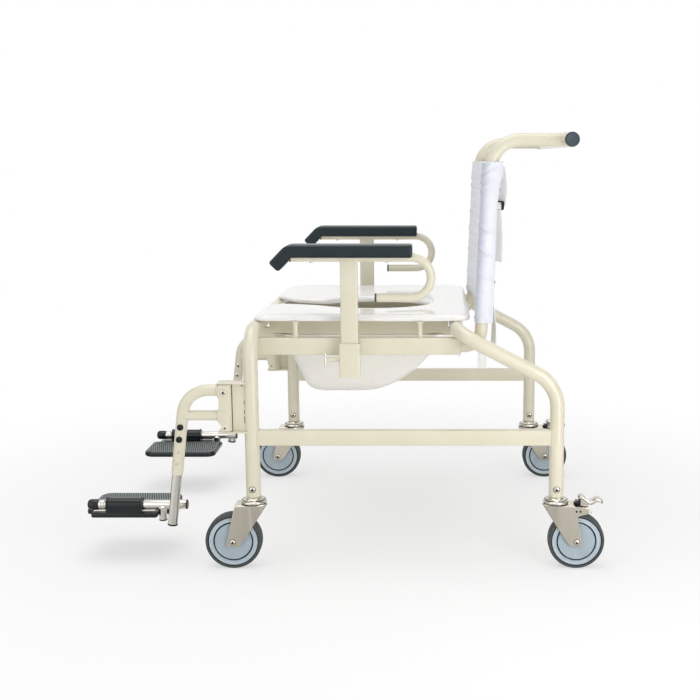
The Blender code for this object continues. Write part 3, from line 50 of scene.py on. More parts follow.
SKY_LIGHT = 0.53
FLOOR_HALF = 14.0
WALL_SET_BACK = 0.3
WALL_LEVELS = ((0.0, 0.76), (0.03, 0.76), (0.055, 1.0), (0.08, 0.76), (0.11, 0.88), (0.19, 0.95), (0.28, 1.0),
               (0.36, 0.85), (0.46, 0.35), (0.58, 0.40), (0.72, 1.0))


def linear(colour):
    """sRGB hex to linear light: c / 12.92 when dark, otherwise ((c + 0.055) / 1.055) to the power 2.4."""
    value = np.array([int(colour[i:i + 2], 16) for i in (1, 3, 5)]) / 255
    light = np.where(value <= 0.04045, value / 12.92, ((value + 0.055) / 1.055) ** 2.4)
    return (*light.tolist(), 1.0)


def add_node(tree, kind, inputs=None, **settings):
    """Adds one node: settings are its properties, inputs are values or the output sockets that feed it."""
    node = tree.nodes.new(kind)
    for name, value in settings.items():
        setattr(node, name, value)
    for socket, value in (inputs or {}).items():
        if isinstance(value, bpy.types.NodeSocket):
            tree.links.new(value, node.inputs[socket])
        else:
            node.inputs[socket].default_value = value
    return node


def calc(tree, operation, *values):
    """One step of arithmetic on numbers or sockets."""
    return add_node(tree, 'ShaderNodeMath', dict(enumerate(values)), operation=operation).outputs[0]


def blend(tree, share, first, second):
    """A number between two others: first + (second - first) times share."""
    return add_node(tree, 'ShaderNodeMix', {0: share, 2: first, 3: second}).outputs[0]


def eased(tree, value, start, end, low=0.0, high=1.0):
    """A smooth step from low to high while a value runs from start to end."""
    return add_node(tree, 'ShaderNodeMapRange', {0: value, 1: start, 2: end, 3: low, 4: high},
                    interpolation_type='SMOOTHSTEP').outputs[0]


def seen_directly(tree):
    """1 for rays from the eye or by way of a mirror or glass, 0 for light that falls on a surface."""
    ray = add_node(tree, 'ShaderNodeLightPath').outputs
    mirror = calc(tree, 'MAXIMUM', ray['Is Glossy Ray'], ray['Is Transmission Ray'])
    return calc(tree, 'MAXIMUM', ray['Is Camera Ray'], mirror)


def studio_walls(tree, across, along):
    """What a mirror sees at a compass angle: bright screens about +X, a dim room to both sides, white paper at -X.

    The angle is measured from +X to either side, as a share of half a turn; across and along are X and Y.
    """
    angle = calc(tree, 'ARCTAN2', calc(tree, 'ABSOLUTE', along), across)
    walls = add_node(tree, 'ShaderNodeValToRGB', {0: calc(tree, 'DIVIDE', angle, math.pi)})
    stops = walls.color_ramp.elements
    for place, level in WALL_LEVELS:
        stop = stops.new(place) if place else stops[0]
        stop.color = (level, level, level, 1.0)
    return walls.outputs[0]


sky = bpy.data.worlds.new("Studio sky")
bpy.context.scene.world = sky
sky.use_nodes = True
sky_tree = sky.node_tree
sky_place = add_node(sky_tree, 'ShaderNodeTexCoord').outputs["Generated"]
sky_way = add_node(sky_tree, 'ShaderNodeSeparateXYZ', {0: sky_place}).outputs
walls = studio_walls(sky_tree, sky_way["X"], sky_way["Y"])
mirror_sky = blend(sky_tree, eased(sky_tree, sky_way["Z"], 0.70, 0.95), walls, 1.0)
by_eye = add_node(sky_tree, 'ShaderNodeLightPath').outputs['Is Camera Ray']
sky_level = blend(sky_tree, seen_directly(sky_tree), SKY_LIGHT, blend(sky_tree, by_eye, mirror_sky, 1.0))
sky_shader = sky_tree.nodes["Background"]
sky_shader.inputs["Color"].default_value = WHITE
sky_tree.links.new(sky_level, sky_shader.inputs["Strength"])

floor_mesh = bpy.data.meshes.new("studio_floor")
floor_mesh.from_pydata([(x * FLOOR_HALF, y * FLOOR_HALF, 0) for x, y in ((-1, -1), (1, -1), (1, 1), (-1, 1))], [],
                       [(0, 1, 2, 3)])
floor = bpy.data.objects.new("studio_floor", floor_mesh)
bpy.context.scene.collection.objects.link(floor)
paper = bpy.data.materials.new("White studio paper")
paper.use_nodes = True
paper_tree = paper.node_tree
paper_shader = paper_tree.nodes["Principled BSDF"]
paper_shader.inputs["Base Color"].default_value = (0.90, 0.90, 0.90, 1.0)
paper_shader.inputs["Roughness"].default_value = 1.0
paper_shader.inputs["Specular IOR Level"].default_value = 0.0
paper_place = add_node(paper_tree, 'ShaderNodeTexCoord').outputs["Object"]
paper_away = add_node(paper_tree, 'ShaderNodeVectorMath', {0: paper_place}, operation='LENGTH').outputs["Value"]
paper_fade = eased(paper_tree, paper_away, 0.5, 1.6, 0.55, 1.0)
paper_ray = add_node(paper_tree, 'ShaderNodeLightPath').outputs
paper_bare = calc(paper_tree, 'MAXIMUM', paper_fade, paper_ray['Is Glossy Ray'])
paper_share = calc(paper_tree, 'MULTIPLY', paper_bare, seen_directly(paper_tree))
paper_way = add_node(paper_tree, 'ShaderNodeSeparateXYZ', {0: paper_place}).outputs
# For mirror rays the paper glows with the screens and the dim room painted on it, and is painted darker near the chair:
# a painted shadow of the chair.
paper_walls = studio_walls(paper_tree, calc(paper_tree, 'ADD', paper_way["X"], WALL_SET_BACK), paper_way["Y"])
paper_painted_shadow = calc(paper_tree, 'MULTIPLY_ADD', paper_fade, 0.6, 0.4)
paper_shade = calc(paper_tree, 'MULTIPLY', paper_walls, paper_painted_shadow)
paper_level = blend(paper_tree, paper_ray['Is Camera Ray'], paper_shade, 1.0)
paper_white = add_node(paper_tree, 'ShaderNodeEmission', {"Color": WHITE, "Strength": paper_level})
paper_mix = add_node(paper_tree, 'ShaderNodeMixShader',
                     {0: paper_share, 1: paper_shader.outputs[0], 2: paper_white.outputs[0]})
paper_tree.links.new(paper_mix.outputs[0], paper_tree.nodes["Material Output"].inputs["Surface"])
floor_mesh.materials.append(paper)

for lamp_name, place, aim, wide, high, power in (
        ("key_lamp", (2.7, 2.6, 1.9), (0, 0.05, 0.45), 1.6, 1.6, 14),
        ("right_box_lamp", (1.45, 1.05, 0.50), (0.3, -0.1, 0.49), 0.60, 1.0, 7.0),
        ("left_box_lamp", (1.45, -1.25, 0.60), (0.3, -0.1, 0.49), 1.00, 1.3, 2.8),
        ("top_lamp", (0.2, -0.3, 3.4), (0, 0, 0.4), 2.6, 2.6, 42),
        ("front_lamp", (1.8, -2.8, 1.7), (0, 0, 0.4), 1.8, 1.8, 5),
        ("fill_lamp", (3.2, 0.5, 0.5), (0, 0.1, 0.4), 1.8, 1.8, 4)):
    lamp_data = bpy.data.lights.new(lamp_name, 'AREA')
    lamp_data.shape = 'RECTANGLE'
    lamp_data.size = wide
    lamp_data.size_y = high
    lamp_data.energy = power
    lamp = bpy.data.objects.new(lamp_name, lamp_data)
    lamp.location = place
    ray = np.subtract(aim, place)
    tilt, heading = math.atan2(math.hypot(ray[0], ray[1]), -ray[2]), math.atan2(ray[1], ray[0])
    lamp.rotation_euler = (tilt, 0, heading - math.pi / 2)
    bpy.context.scene.collection.objects.link(lamp)

FOCAL_PIXELS, PICTURE_PIXELS, AIM_ACROSS, AIM_DOWN = 1080, 700, 434, 330
SENSOR_MM = 36
camera_data = bpy.data.cameras.new("camera")
camera_data.sensor_width = SENSOR_MM
camera_data.lens = FOCAL_PIXELS / PICTURE_PIXELS * SENSOR_MM
camera_data.shift_x = (PICTURE_PIXELS / 2 - AIM_ACROSS) / PICTURE_PIXELS
camera_data.shift_y = (AIM_DOWN - PICTURE_PIXELS / 2) / PICTURE_PIXELS
camera = bpy.data.objects.new("camera", camera_data)
camera.location = (2.66, 0.205, 0.904)
camera.rotation_euler = (math.radians(90 - 9.05), 0, math.radians(90))
bpy.context.scene.collection.objects.link(camera)
bpy.context.scene.camera = camera
bpy.context.scene.view_settings.view_transform = 'Standard'


# Hoops: two bent steel tubes, 32 mm, that make the four legs and both crossbars under the seat.
# They are mitre-free bends, welded to the rails and coated all over in cream baked enamel.
SIDES = ((1, "left"), (-1, "right"))
X, Y, Z = np.eye(3)


def shell(grid, loop_rows=False, loop_columns=True, caps=True):
    """Quads between neighbouring rows and columns of a grid of points; open ends are filled by one face each."""
    rows, columns = grid.shape[:2]
    row, column = np.meshgrid(np.arange(rows if loop_rows else rows - 1),
                              np.arange(columns if loop_columns else columns - 1), indexing='ij')
    below, beside = (row + 1) % rows, (column + 1) % columns
    quads = np.stack([row * columns + column, row * columns + beside,
                      below * columns + beside, below * columns + column], axis=-1).reshape(-1, 4).tolist()
    if caps and loop_columns and not loop_rows:
        quads += [list(range(columns))[::-1], list(range((rows - 1) * columns, rows * columns))]
    return grid.reshape(-1, 3), quads


def add_piece(name, shells, material, body, stands_for=(), sharp=38, closed=True, uv=None):
    """One object from shells: points stacked, faces shifted to match, sharp where faces meet over an angle."""
    faces = []
    start = 0
    for points, polygons in shells:
        faces += [[corner + start for corner in polygon] for polygon in polygons]
        start += len(points)
    mesh = bpy.data.meshes.new(name)
    mesh.from_pydata(np.vstack([points for points, polygons in shells]).tolist(), [], faces)
    if uv is not None:
        corners = np.empty(len(mesh.loops), np.int32)
        mesh.loops.foreach_get("vertex_index", corners)
        mesh.uv_layers.new(name="cloth").data.foreach_set("uv", uv.reshape(-1, 2)[corners].ravel())
    if closed:
        form = bmesh.new()
        form.from_mesh(mesh)
        bmesh.ops.remove_doubles(form, verts=form.verts, dist=1e-6)
        bmesh.ops.recalc_face_normals(form, faces=form.faces)
        form.to_mesh(mesh)
        form.free()
    mesh.shade_smooth()
    mesh.set_sharp_from_angle(angle=math.radians(sharp))
    mesh.materials.append(material)
    piece = bpy.data.objects.new(name, mesh)
    bpy.context.scene.collection.objects.link(piece)
    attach(piece, body)
    if stands_for:
        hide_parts(*stands_for)
    return piece


def add_pair(name, shells, material, body, stands_for=None, sharp=38):
    """A piece for each side from the shells of the left one; its body and node end in the side's word too."""
    return [add_piece(f"{name}_{word}", [(points * (side, 1, 1), polygons) for points, polygons in shells], material,
                      body if body == "frame" else f"{body}_{word}",
                      [f"{stands_for}_{word}"] if stands_for else (), sharp) for side, word in SIDES]


def bend_path(corners, radii, step=math.radians(5)):
    """Straight runs between corners; each corner is an arc of its radius, tangent to both runs."""
    corners = np.asarray(corners, float)
    stops = [corners[:1]]
    for before, corner, after, radius in zip(corners, corners[1:], corners[2:], radii):
        back = (before - corner) / np.linalg.norm(before - corner)
        ahead = (after - corner) / np.linalg.norm(after - corner)
        half = math.acos(float(np.clip(back @ ahead, -1, 1))) / 2
        sweep = math.pi - 2 * half
        share = np.linspace(0, 1, max(2, int(sweep / step) + 1))[:, None]
        centre = corner + (back + ahead) / np.linalg.norm(back + ahead) * radius / math.sin(half)
        start = corner + back * radius / math.tan(half) - centre
        end = corner + ahead * radius / math.tan(half) - centre
        stops.append(centre + (start * np.sin((1 - share) * sweep) + end * np.sin(share * sweep)) / math.sin(sweep))
    stops.append(corners[-1:])
    return np.vstack(stops)


def cross_directions(path, first=None):
    """Two directions across a path at each of its points, carried along it so that they don't twist."""
    steps = np.diff(path, axis=0)
    steps /= np.linalg.norm(steps, axis=1)[:, None]
    along = np.vstack([steps[:1], steps[:-1] + steps[1:], steps[-1:]])
    along /= np.linalg.norm(along, axis=1)[:, None]
    if first is None:
        first = np.eye(3)[np.argmin(np.abs(along[0]))]
    across = []
    for forward in along:
        first = first - forward * (first @ forward)
        first = first / np.linalg.norm(first)
        across.append(first)
    across = np.array(across)
    return across, np.cross(along, across)


def swept(path, section, across, up):
    """Points of a flat section at every point of a path: path + the section's two parts along two directions."""
    return path[:, None] + section[:, :1] * across[:, None] + section[:, 1:] * up[:, None]


def carried(path, section, first=None):
    """A flat section, closed, carried along a path without a twist; first is the way its first part points."""
    path = np.asarray(path, float)
    return swept(path, section, *cross_directions(path, first))


def ring(radius, sides=40):
    """Points round a circle."""
    turn = np.arange(sides) * 2 * math.pi / sides
    return np.column_stack([np.cos(turn), np.sin(turn)]) * radius


def tube(path, radius, sides=40):
    """A round bar along a path, with a softened edge at both of its ends."""
    path = np.asarray(path, float)
    grid = carried(path, ring(radius, sides))
    edge = min(0.0012, radius / 4)
    lead = (path[1] - path[0]) / np.linalg.norm(path[1] - path[0]) * edge
    tail = (path[-1] - path[-2]) / np.linalg.norm(path[-1] - path[-2]) * edge
    share = 1 - edge / radius
    start = path[0] + (grid[0] - path[0]) * share
    end = path[-1] + (grid[-1] - path[-1]) * share
    return shell(np.concatenate([[start], grid[:1] + lead, grid[1:-1], grid[-1:] - tail, [end]]))


def new_material(name, colour, roughness, metallic=0.0, **sockets):
    """A material with its plain values set, and a node that gives its Object coordinates to patterns."""
    material = bpy.data.materials.new(name)
    material.use_nodes = True
    plain = {"Base Color": linear(colour), "Roughness": roughness, "Metallic": metallic}
    plain.update({socket.replace("_", " "): value for socket, value in sockets.items()})
    for socket, value in plain.items():
        material.node_tree.nodes["Principled BSDF"].inputs[socket].default_value = value
    add_node(material.node_tree, 'ShaderNodeTexCoord', name="Place")
    return material


def place_on(material):
    """The material's Object coordinates."""
    return material.node_tree.nodes["Place"].outputs["Object"]


def noise(material, size, detail, stretch=None):
    """A cloudy pattern from 0 to 1 with features of a size in metres; stretch multiplies the coordinates first."""
    tree, place = material.node_tree, place_on(material)
    if stretch:
        place = add_node(tree, 'ShaderNodeMapping', {"Vector": place, "Scale": stretch}).outputs[0]
    return add_node(tree, 'ShaderNodeTexNoise', {"Vector": place, "Scale": 1 / size, "Detail": detail}).outputs[0]


def feed(material, pattern, socket):
    """Links a pattern to one socket of the material's shader."""
    material.node_tree.links.new(pattern, material.node_tree.nodes["Principled BSDF"].inputs[socket])
    return pattern


def tint(material, pattern, dark, light):
    """Lets a pattern from 0 to 1 run the base colour from a dark to a light tone."""
    tone = add_node(material.node_tree, 'ShaderNodeMix', {0: pattern, 6: linear(dark), 7: linear(light)},
                    data_type='RGBA')
    return feed(material, tone.outputs[2], "Base Color")


def relief(material, pattern, depth, strength=1.0):
    """Lets a pattern raise the surface by up to a depth in metres."""
    bump = {"Height": pattern, "Distance": depth, "Strength": strength}
    feed(material, add_node(material.node_tree, 'ShaderNodeBump', bump).outputs[0], "Normal")


def vary_roughness(material, pattern, low, high):
    """Lets a pattern from 0 to 1 run the roughness between two values."""
    span = add_node(material.node_tree, 'ShaderNodeMapRange', {0: pattern, 3: low, 4: high})
    feed(material, span.outputs[0], "Roughness")


# Baked enamel on steel: thick glossy paint. Slow tone drift over 90 mm, smears of 25 mm, faint orange peel at 2.5 mm.
enamel = new_material("Cream baked enamel", "#E5DFC6", 0.3, IOR=1.5, Coat_Weight=0.5, Coat_Roughness=0.12)
tint(enamel, noise(enamel, 0.09, 3), "#D5CEB5", "#E2DDC9")
relief(enamel, noise(enamel, 0.0025, 1), 0.00002, 0.3)
vary_roughness(enamel, noise(enamel, 0.025, 4), 0.22, 0.42)

LEG_X, FRONT_Y, REAR_Y, REAR_BAR_Y = 0.35, -0.195, 0.4755, 0.255
LEG_FOOT, BAR_Z = 0.163, 0.530
KNEE_Z = BAR_Z - (REAR_Y - REAR_BAR_Y) * math.tan(math.radians(27.5))
FRAME_R, FRAME_BEND, KNEE_BEND = 0.016, 0.06, 0.085
front_half = [(LEG_X, FRONT_Y, LEG_FOOT), (LEG_X, FRONT_Y, BAR_Z)]
rear_half = [(LEG_X, REAR_Y, LEG_FOOT), (LEG_X, REAR_Y, KNEE_Z), (LEG_X, REAR_BAR_Y, BAR_Z)]
for end, half, radii in (("front", front_half, [FRAME_BEND] * 2),
                         ("rear", rear_half, [KNEE_BEND, FRAME_BEND, FRAME_BEND, KNEE_BEND])):
    corners = half + [(-x, y, z) for x, y, z in reversed(half)]
    add_piece(end + "_hoop_tube", [tube(bend_path(corners, radii), FRAME_R)], enamel, "frame",
              [end + "_hoop"])


# Leg screws: plated button-head screws with a hex socket, from both sides of each leg into the caster's stem.
# Nickel plate: bright, a little yellow, rubbed in patches of 12 mm, with faint level polishing lines.
def turned(profile, place, direction, sides=36):
    """A profile of radius and distance along an axis, swept full circle round the axis."""
    profile = np.asarray(profile, float)
    axis = np.asarray(direction, float) / np.linalg.norm(direction)
    across = np.cross(axis, np.eye(3)[np.argmin(np.abs(axis))])
    across /= np.linalg.norm(across)
    turn = np.arange(sides) * 2 * math.pi / sides
    circle = np.cos(turn)[:, None] * across + np.sin(turn)[:, None] * np.cross(axis, across)
    return shell(np.asarray(place, float) + profile[:, 1, None, None] * axis + profile[:, 0, None, None] * circle)


def button_head(radius, height):
    """Profile of a domed screw head: a socket in the middle, a quarter-round dome and a thin rim."""
    turn = np.linspace(0.35, math.pi / 2, 7)[::-1]
    dome = np.column_stack([radius * np.cos(turn), height * (0.25 + 0.75 * np.sin(turn))])
    socket = radius * 0.42
    inside = [(0.0002, height * 0.35), (socket * 0.9, height * 0.35), (socket, height * 0.45), (socket, height * 0.97)]
    return np.vstack([inside, dome[dome[:, 0] > socket * 1.1], [(radius, height * 0.22), (radius, -height * 0.3)]])


def socket_floor(radius, height, place, direction):
    """A button head's socket floor in painted shade: a thin six-sided disc that fills the socket to half its depth."""
    wide = radius * 0.41
    return turned([(0.0001, height * 0.5), (wide, height * 0.5), (wide, height * 0.36)], place, direction, 6)


def ring_of(profile, place, direction, sides=72):
    """A closed profile of radius and distance along an axis, swept full circle: a ring with a hole."""
    points, polygons = turned(profile, place, direction, sides)
    return shell(points.reshape(len(profile), sides, 3), loop_rows=True)


def painted_shade_ring(radius, rise, depth, place, direction):
    """Painted shade round a screw head where it meets the surface: a thin dark ring from just above the surface down
    into it.
    """
    inner, outer = radius - 0.0004, radius + 0.0005
    return ring_of([(inner, rise), (outer, rise), (outer, -depth), (inner, -depth)], place, direction, 28)


nickel = new_material("Nickel-plated steel", "#D2CCC0", 0.18, 1.0)
rub = noise(nickel, 0.012, 5)
tint(nickel, rub, "#C6C0B3", "#DEDAD0")
vary_roughness(nickel, rub, 0.06, 0.14)
relief(nickel, noise(nickel, 0.008, 3, (1, 1, 14)), 0.000008)

# Black-oxide steel, dull and slightly brown, for the sling's press studs. The same dark steel is painted shade
# in screw sockets, round screw heads, and in the bracket's weld gaps and holes.
dark_steel_and_shade = new_material("Dark steel and painted shade", "#22201E", 0.6, 0.3)
tint(dark_steel_and_shade, noise(dark_steel_and_shade, 0.001, 2), "#191817", "#2E2B28")

LEG_SCREW_Z, LEG_SCREW = 0.1818, (0.0070, 0.0036)
screws = [((LEG_X + way * (FRAME_R - 0.0006), y, LEG_SCREW_Z), way * X) for y in (FRONT_Y, REAR_Y) for way in (1, -1)]
add_pair("leg_screws", [turned(button_head(*LEG_SCREW), *screw) for screw in screws], nickel, "frame")
# Painted shade: dark socket floors, and dark rings where the heads meet the leg.
add_pair("leg_screw_sockets", [socket_floor(*LEG_SCREW, *screw) for screw in screws]
         + [painted_shade_ring(LEG_SCREW[0], 0.0008, 0.0020, *screw) for screw in screws], dark_steel_and_shade, "frame")


# Rails: rectangular steel tube welded between the hoops, one low and one under the seat on each side.
# The upper one is open at its ends and carries turned standoffs with soft buffers that hold the seat.
def rounded_rectangle(half_wide, half_high, corner, steps=5):
    """A rectangle whose corners are quarter circles, anticlockwise."""
    turn = np.linspace(0, math.pi / 2, steps)
    quarter = np.column_stack([np.cos(turn), np.sin(turn)]) * corner
    spin = np.array([[0, 1], [-1, 0]])
    reach = np.array([half_wide - corner, half_high - corner])
    signs = np.array([(1, 1), (-1, 1), (-1, -1), (1, -1)])
    return np.vstack([quarter @ np.linalg.matrix_power(spin, k) + signs[k] * reach for k in range(4)])


def hollow_bar(start, end, outer, inner):
    """A tube of any section between two points, open at both ends: outside, end faces and inside as one loop."""
    path = [start, end]
    return shell(np.concatenate([carried(path, outer, X), carried(path, inner, X)[::-1]]), loop_rows=True)


def bead(x, y, z, radius=0.0016):
    """A weld bead: a small round run along a closed line, its size rippled by the welder's steps."""
    points = np.column_stack(np.broadcast_arrays(x, y, z))
    across, up = cross_directions(points)
    steps = radius * (1 + 0.22 * np.sin(np.arange(len(points)) * 2.2))[:, None]
    return shell(swept(points, ring(1.0, 8), steps * across, steps * up), loop_rows=True)


RAIL_X, RAIL_LOW, RAIL_HIGH, RAIL_FRONT, RAIL_REAR = 0.295, 0.473, 0.511, -0.210, 0.264
RAIL_MIDDLE = (RAIL_LOW + RAIL_HIGH) / 2
STANDOFF_PLACES = (-0.102, 0.174)
SEAT_FOOT, BUFFER_FOOT = 0.5463, 0.5408
LOWER_Z = 0.297
buffer_rubber = new_material("Pale moulded rubber", "#D8D3C0", 0.6)
tint(buffer_rubber, noise(buffer_rubber, 0.0015, 2), "#CFCAB6", "#DED9C8")
lower = shell(carried([(LEG_X, FRONT_Y + 0.006, LOWER_Z), (LEG_X, REAR_Y - 0.006, LOWER_Z)],
                      rounded_rectangle(0.010, 0.017, 0.0025), X))
weld_x, weld_z = rounded_rectangle(0.0108, 0.0178, 0.003, 9).T
bow = np.sqrt(FRAME_R ** 2 - weld_x ** 2)
welds = [bead(LEG_X + weld_x, y + way * bow, LOWER_Z + weld_z) for y, way in ((FRONT_Y, 1), (REAR_Y, -1))]
add_pair("lower_rail_tube", [lower] + welds, enamel, "frame", "lower_rail")
upper = hollow_bar((RAIL_X, RAIL_FRONT, RAIL_MIDDLE), (RAIL_X, RAIL_REAR, RAIL_MIDDLE),
                   rounded_rectangle(0.0125, 0.019, 0.0025), rounded_rectangle(0.0103, 0.0168, 0.0012))
posts = [turned([(0.0066, 0), (0.0066, 0.0015), (0.0052, 0.0026), (0.0052, 0.026), (0.0052, 0.030)],
                (RAIL_X, y, RAIL_HIGH - 0.0004), Z) for y in STANDOFF_PLACES]
drain = turned([(0.0014, 0), (0.0014, 0.0035), (0.001, 0.004)], (RAIL_X + 0.006, RAIL_REAR - 0.003, RAIL_LOW), -Z)
add_pair("side_rail_tube", [upper, drain] + posts, enamel, "frame", "side_rail")
buffers = [turned([(0.0058, 0), (0.0072, 0.001), (0.0072, 0.0045), (0.0062, 0.0052)], (RAIL_X, y, BUFFER_FOOT), Z)
           for y in STANDOFF_PLACES]
add_pair("seat_buffers", buffers, buffer_rubber, "frame")


# Pan rails: folded steel angles under the seat, welded between and below the crossbars. The pan's rim slides on
# their lower lips and shows through the long slot above them.
PAN_RAIL_OUT, PAN_RAIL_IN, PAN_RAIL_SHEET = 0.1785, -0.022, 0.002
LIP_LOW, SLOT_TOP, PAN_RAIL_TOP, UPSTAND_TOP = 0.4962, 0.5010, 0.5137, 0.5310
rail_front, rail_rear = FRONT_Y - 0.012, REAR_BAR_Y + 0.012
inner_front, inner_rear = FRONT_Y + FRAME_R + 0.001, REAR_BAR_Y - FRAME_R - 0.001
end_low, end_high = LIP_LOW - 0.0003, PAN_RAIL_TOP - 0.0003
folds = []
for outer, inner, low, high, start, end in (
        (-0.0035, PAN_RAIL_IN, LIP_LOW, LIP_LOW + PAN_RAIL_SHEET, rail_front, rail_rear),
        (-0.0015, PAN_RAIL_IN, PAN_RAIL_TOP - PAN_RAIL_SHEET, PAN_RAIL_TOP, rail_front, rail_rear),
        (-0.0012, -0.0012 - PAN_RAIL_SHEET, end_low, end_high, rail_front - 0.0003, inner_front + 0.010),
        (-0.0012, -0.0012 - PAN_RAIL_SHEET, end_low, end_high, inner_rear - 0.010, rail_rear + 0.0003),
        (0.0, -PAN_RAIL_SHEET, SLOT_TOP, UPSTAND_TOP, inner_front, inner_rear)):
    corners = [(outer, low), (outer, high), (inner, high), (inner, low)]
    folds.append(shell(np.array([[(PAN_RAIL_OUT + x, y, z) for x, z in corners] for y in (start, end)])))
add_pair("pan_rail_channel", folds, enamel, "frame", "pan_rail")


# Back: two 28.6 mm uprights that bend out of the side rails and back over to the push handle's crossbar.
# The crossbar's ends are closed by dark slate plastic plugs with a raised rim.
BACK_R = 0.0143
BACK_LEAN = math.tan(math.radians(2.8))
HANDLE_HALF, HANDLE_Y, HANDLE_Z = 0.345, 0.497, 0.943
BACK_FOOT_Y, BACK_FOOT_Z, FOOT_WELD_R = 0.308, 0.492, 0.0137


def back_y(height):
    """Fore-aft place of an upright's axis: a straight line that leans back with height."""
    return BACK_FOOT_Y + (height - BACK_FOOT_Z) * BACK_LEAN


round_cos, round_sin = ring(1.0).T
upright = bend_path([(RAIL_X, RAIL_REAR - 0.004, BACK_FOOT_Z), (RAIL_X, BACK_FOOT_Y, BACK_FOOT_Z),
                     (RAIL_X, back_y(HANDLE_Z), HANDLE_Z), (RAIL_X, HANDLE_Y, HANDLE_Z)], [0.038, 0.065])
saddle = bead(RAIL_X + BACK_R * 1.03 * round_cos,
              HANDLE_Y - np.sqrt(FRAME_R ** 2 - (BACK_R * 0.99 * round_sin) ** 2) - 0.0004,
              HANDLE_Z + BACK_R * 1.03 * round_sin)
foot = bead(RAIL_X + FOOT_WELD_R * round_cos, RAIL_REAR + 0.0006, BACK_FOOT_Z + FOOT_WELD_R * round_sin)
add_pair("back_upright_tube", [tube(upright, BACK_R), saddle, foot], enamel, "frame", "back_upright")
add_piece("push_handle_tube", [tube([(-HANDLE_HALF, HANDLE_Y, HANDLE_Z), (HANDLE_HALF, HANDLE_Y, HANDLE_Z)], FRAME_R)],
          enamel, "frame", ["push_handle"])

# Slate plastic: dark blue-grey moulding, satin, with a fine spark-eroded grain of 0.8 mm.
slate = new_material("Slate moulded plastic", "#2F3C45", 0.42, IOR=1.49)
grain = noise(slate, 0.0008, 2)
tint(slate, grain, "#2D3C43", "#394951")
relief(slate, grain, 0.00005)
plug = turned([(0.0128, -0.012), (0.0128, 0.0003), (FRAME_R, 0.0003), (FRAME_R, 0.0030), (0.0152, 0.0046),
               (0.0136, 0.0050), (0.0128, 0.0046), (0.0122, 0.0034), (0.0118, 0.0033), (0.0002, 0.0036)],
              (HANDLE_HALF, HANDLE_Y, HANDLE_Z), X, 48)
add_pair("handle_plug", [plug], slate, "frame", "handle_cap")


# Armrests: a flat post that drops into a socket on the side rail, a 19 mm tube hooked round at the back,
# and a foam pad with a bent-down nose. A spring plunger with a cross pull locks the post.
ARM_X, ARM_Y = 0.3217, 0.02
SOCKET_LOW, SOCKET_HIGH = 0.428, 0.503
ARM_TUBE_Z, ARM_TUBE_R = 0.691, 0.0095
HOOK_FRONT, HOOK_REAR, HOOK_END, HOOK_Z, HOOK_BEND = -0.106, 0.1985, 0.079, 0.603, 0.0439
PLUNGER_Z, HOUSING_MOUTH = 0.4655, -0.0294
PAD_REAR, PAD_FOLD, PAD_Z = 0.158, -0.108, ARM_TUBE_Z + 0.0145
PAD_HALF, PAD_HALF_HIGH, PAD_CORNER, PAD_END, PAD_CROWN = 0.027, 0.0138, 0.0060, 0.005, 0.0012
NOSE_LENGTH, NOSE_TURN = 0.048, math.radians(46)


def walk_along(path):
    """Distance along a path at each of its points."""
    return np.concatenate([[0], np.cumsum(np.linalg.norm(np.diff(path, axis=0), axis=1))])


def resampled(path, stops):
    """The points of a path at given distances along it."""
    return np.column_stack([np.interp(stops, walk_along(path), path[:, k]) for k in range(3)])


def end_stops(length, end, steps=6):
    """Distances along a run, close together near both rounded ends."""
    lead = end * (1 - np.cos(np.linspace(0, math.pi / 2, steps)))
    return np.concatenate([lead, np.linspace(end, length - end, 12)[1:-1], (length - lead)[::-1]])


def cushioned(path, half_wide, half_high, corner, end, crown=0.0):
    """A rounded bar along a path: its section shrinks to the ends by a quarter circle, its top is crowned."""
    walk = walk_along(path)
    near = np.clip(np.minimum(walk, walk[-1] - walk), 0, end)
    shrink = (end - np.sqrt(end ** 2 - (end - near) ** 2))[:, None]
    section = rounded_rectangle(half_wide, half_high, corner, 7)
    section[:, 1] += crown * (1 - (section[:, 0] / half_wide) ** 2) * (section[:, 1] > 0)
    across, up = cross_directions(path, X)
    return shell(swept(path, section, (1 - shrink / half_wide) * across, (1 - shrink / half_high) * up))


# Skinned foam: dark slate self-skinning polyurethane, soft sheen, clouded over 30 mm, pebble grain of 1.2 mm.
foam = new_material("Self-skinned slate foam", "#1D282E", 0.48, IOR=1.42, Coat_Weight=0.06, Coat_Roughness=0.3)
pebble = add_node(foam.node_tree, 'ShaderNodeTexVoronoi', {"Vector": place_on(foam), "Scale": 1 / 0.0012},
                  feature='SMOOTH_F1')
cloudy = noise(foam, 0.03, 4)
tint(foam, cloudy, "#07181C", "#12252A")
relief(foam, pebble.outputs[0], 0.00004, 0.5)
vary_roughness(foam, cloudy, 0.28, 0.40)

# Stainless steel: satin-brushed tube, slightly warm, hairlines 0.4 mm apart drawn at 1.5 mm so that they show.
stainless = new_material("Satin stainless steel", "#D0CBC2", 0.2, 1.0)
hair = noise(stainless, 0.0015, 4, (1, 0.06, 0.06))
tint(stainless, hair, "#CFCBC2", "#E6E3DC")
vary_roughness(stainless, hair, 0.10, 0.18)
relief(stainless, hair, 0.00002)

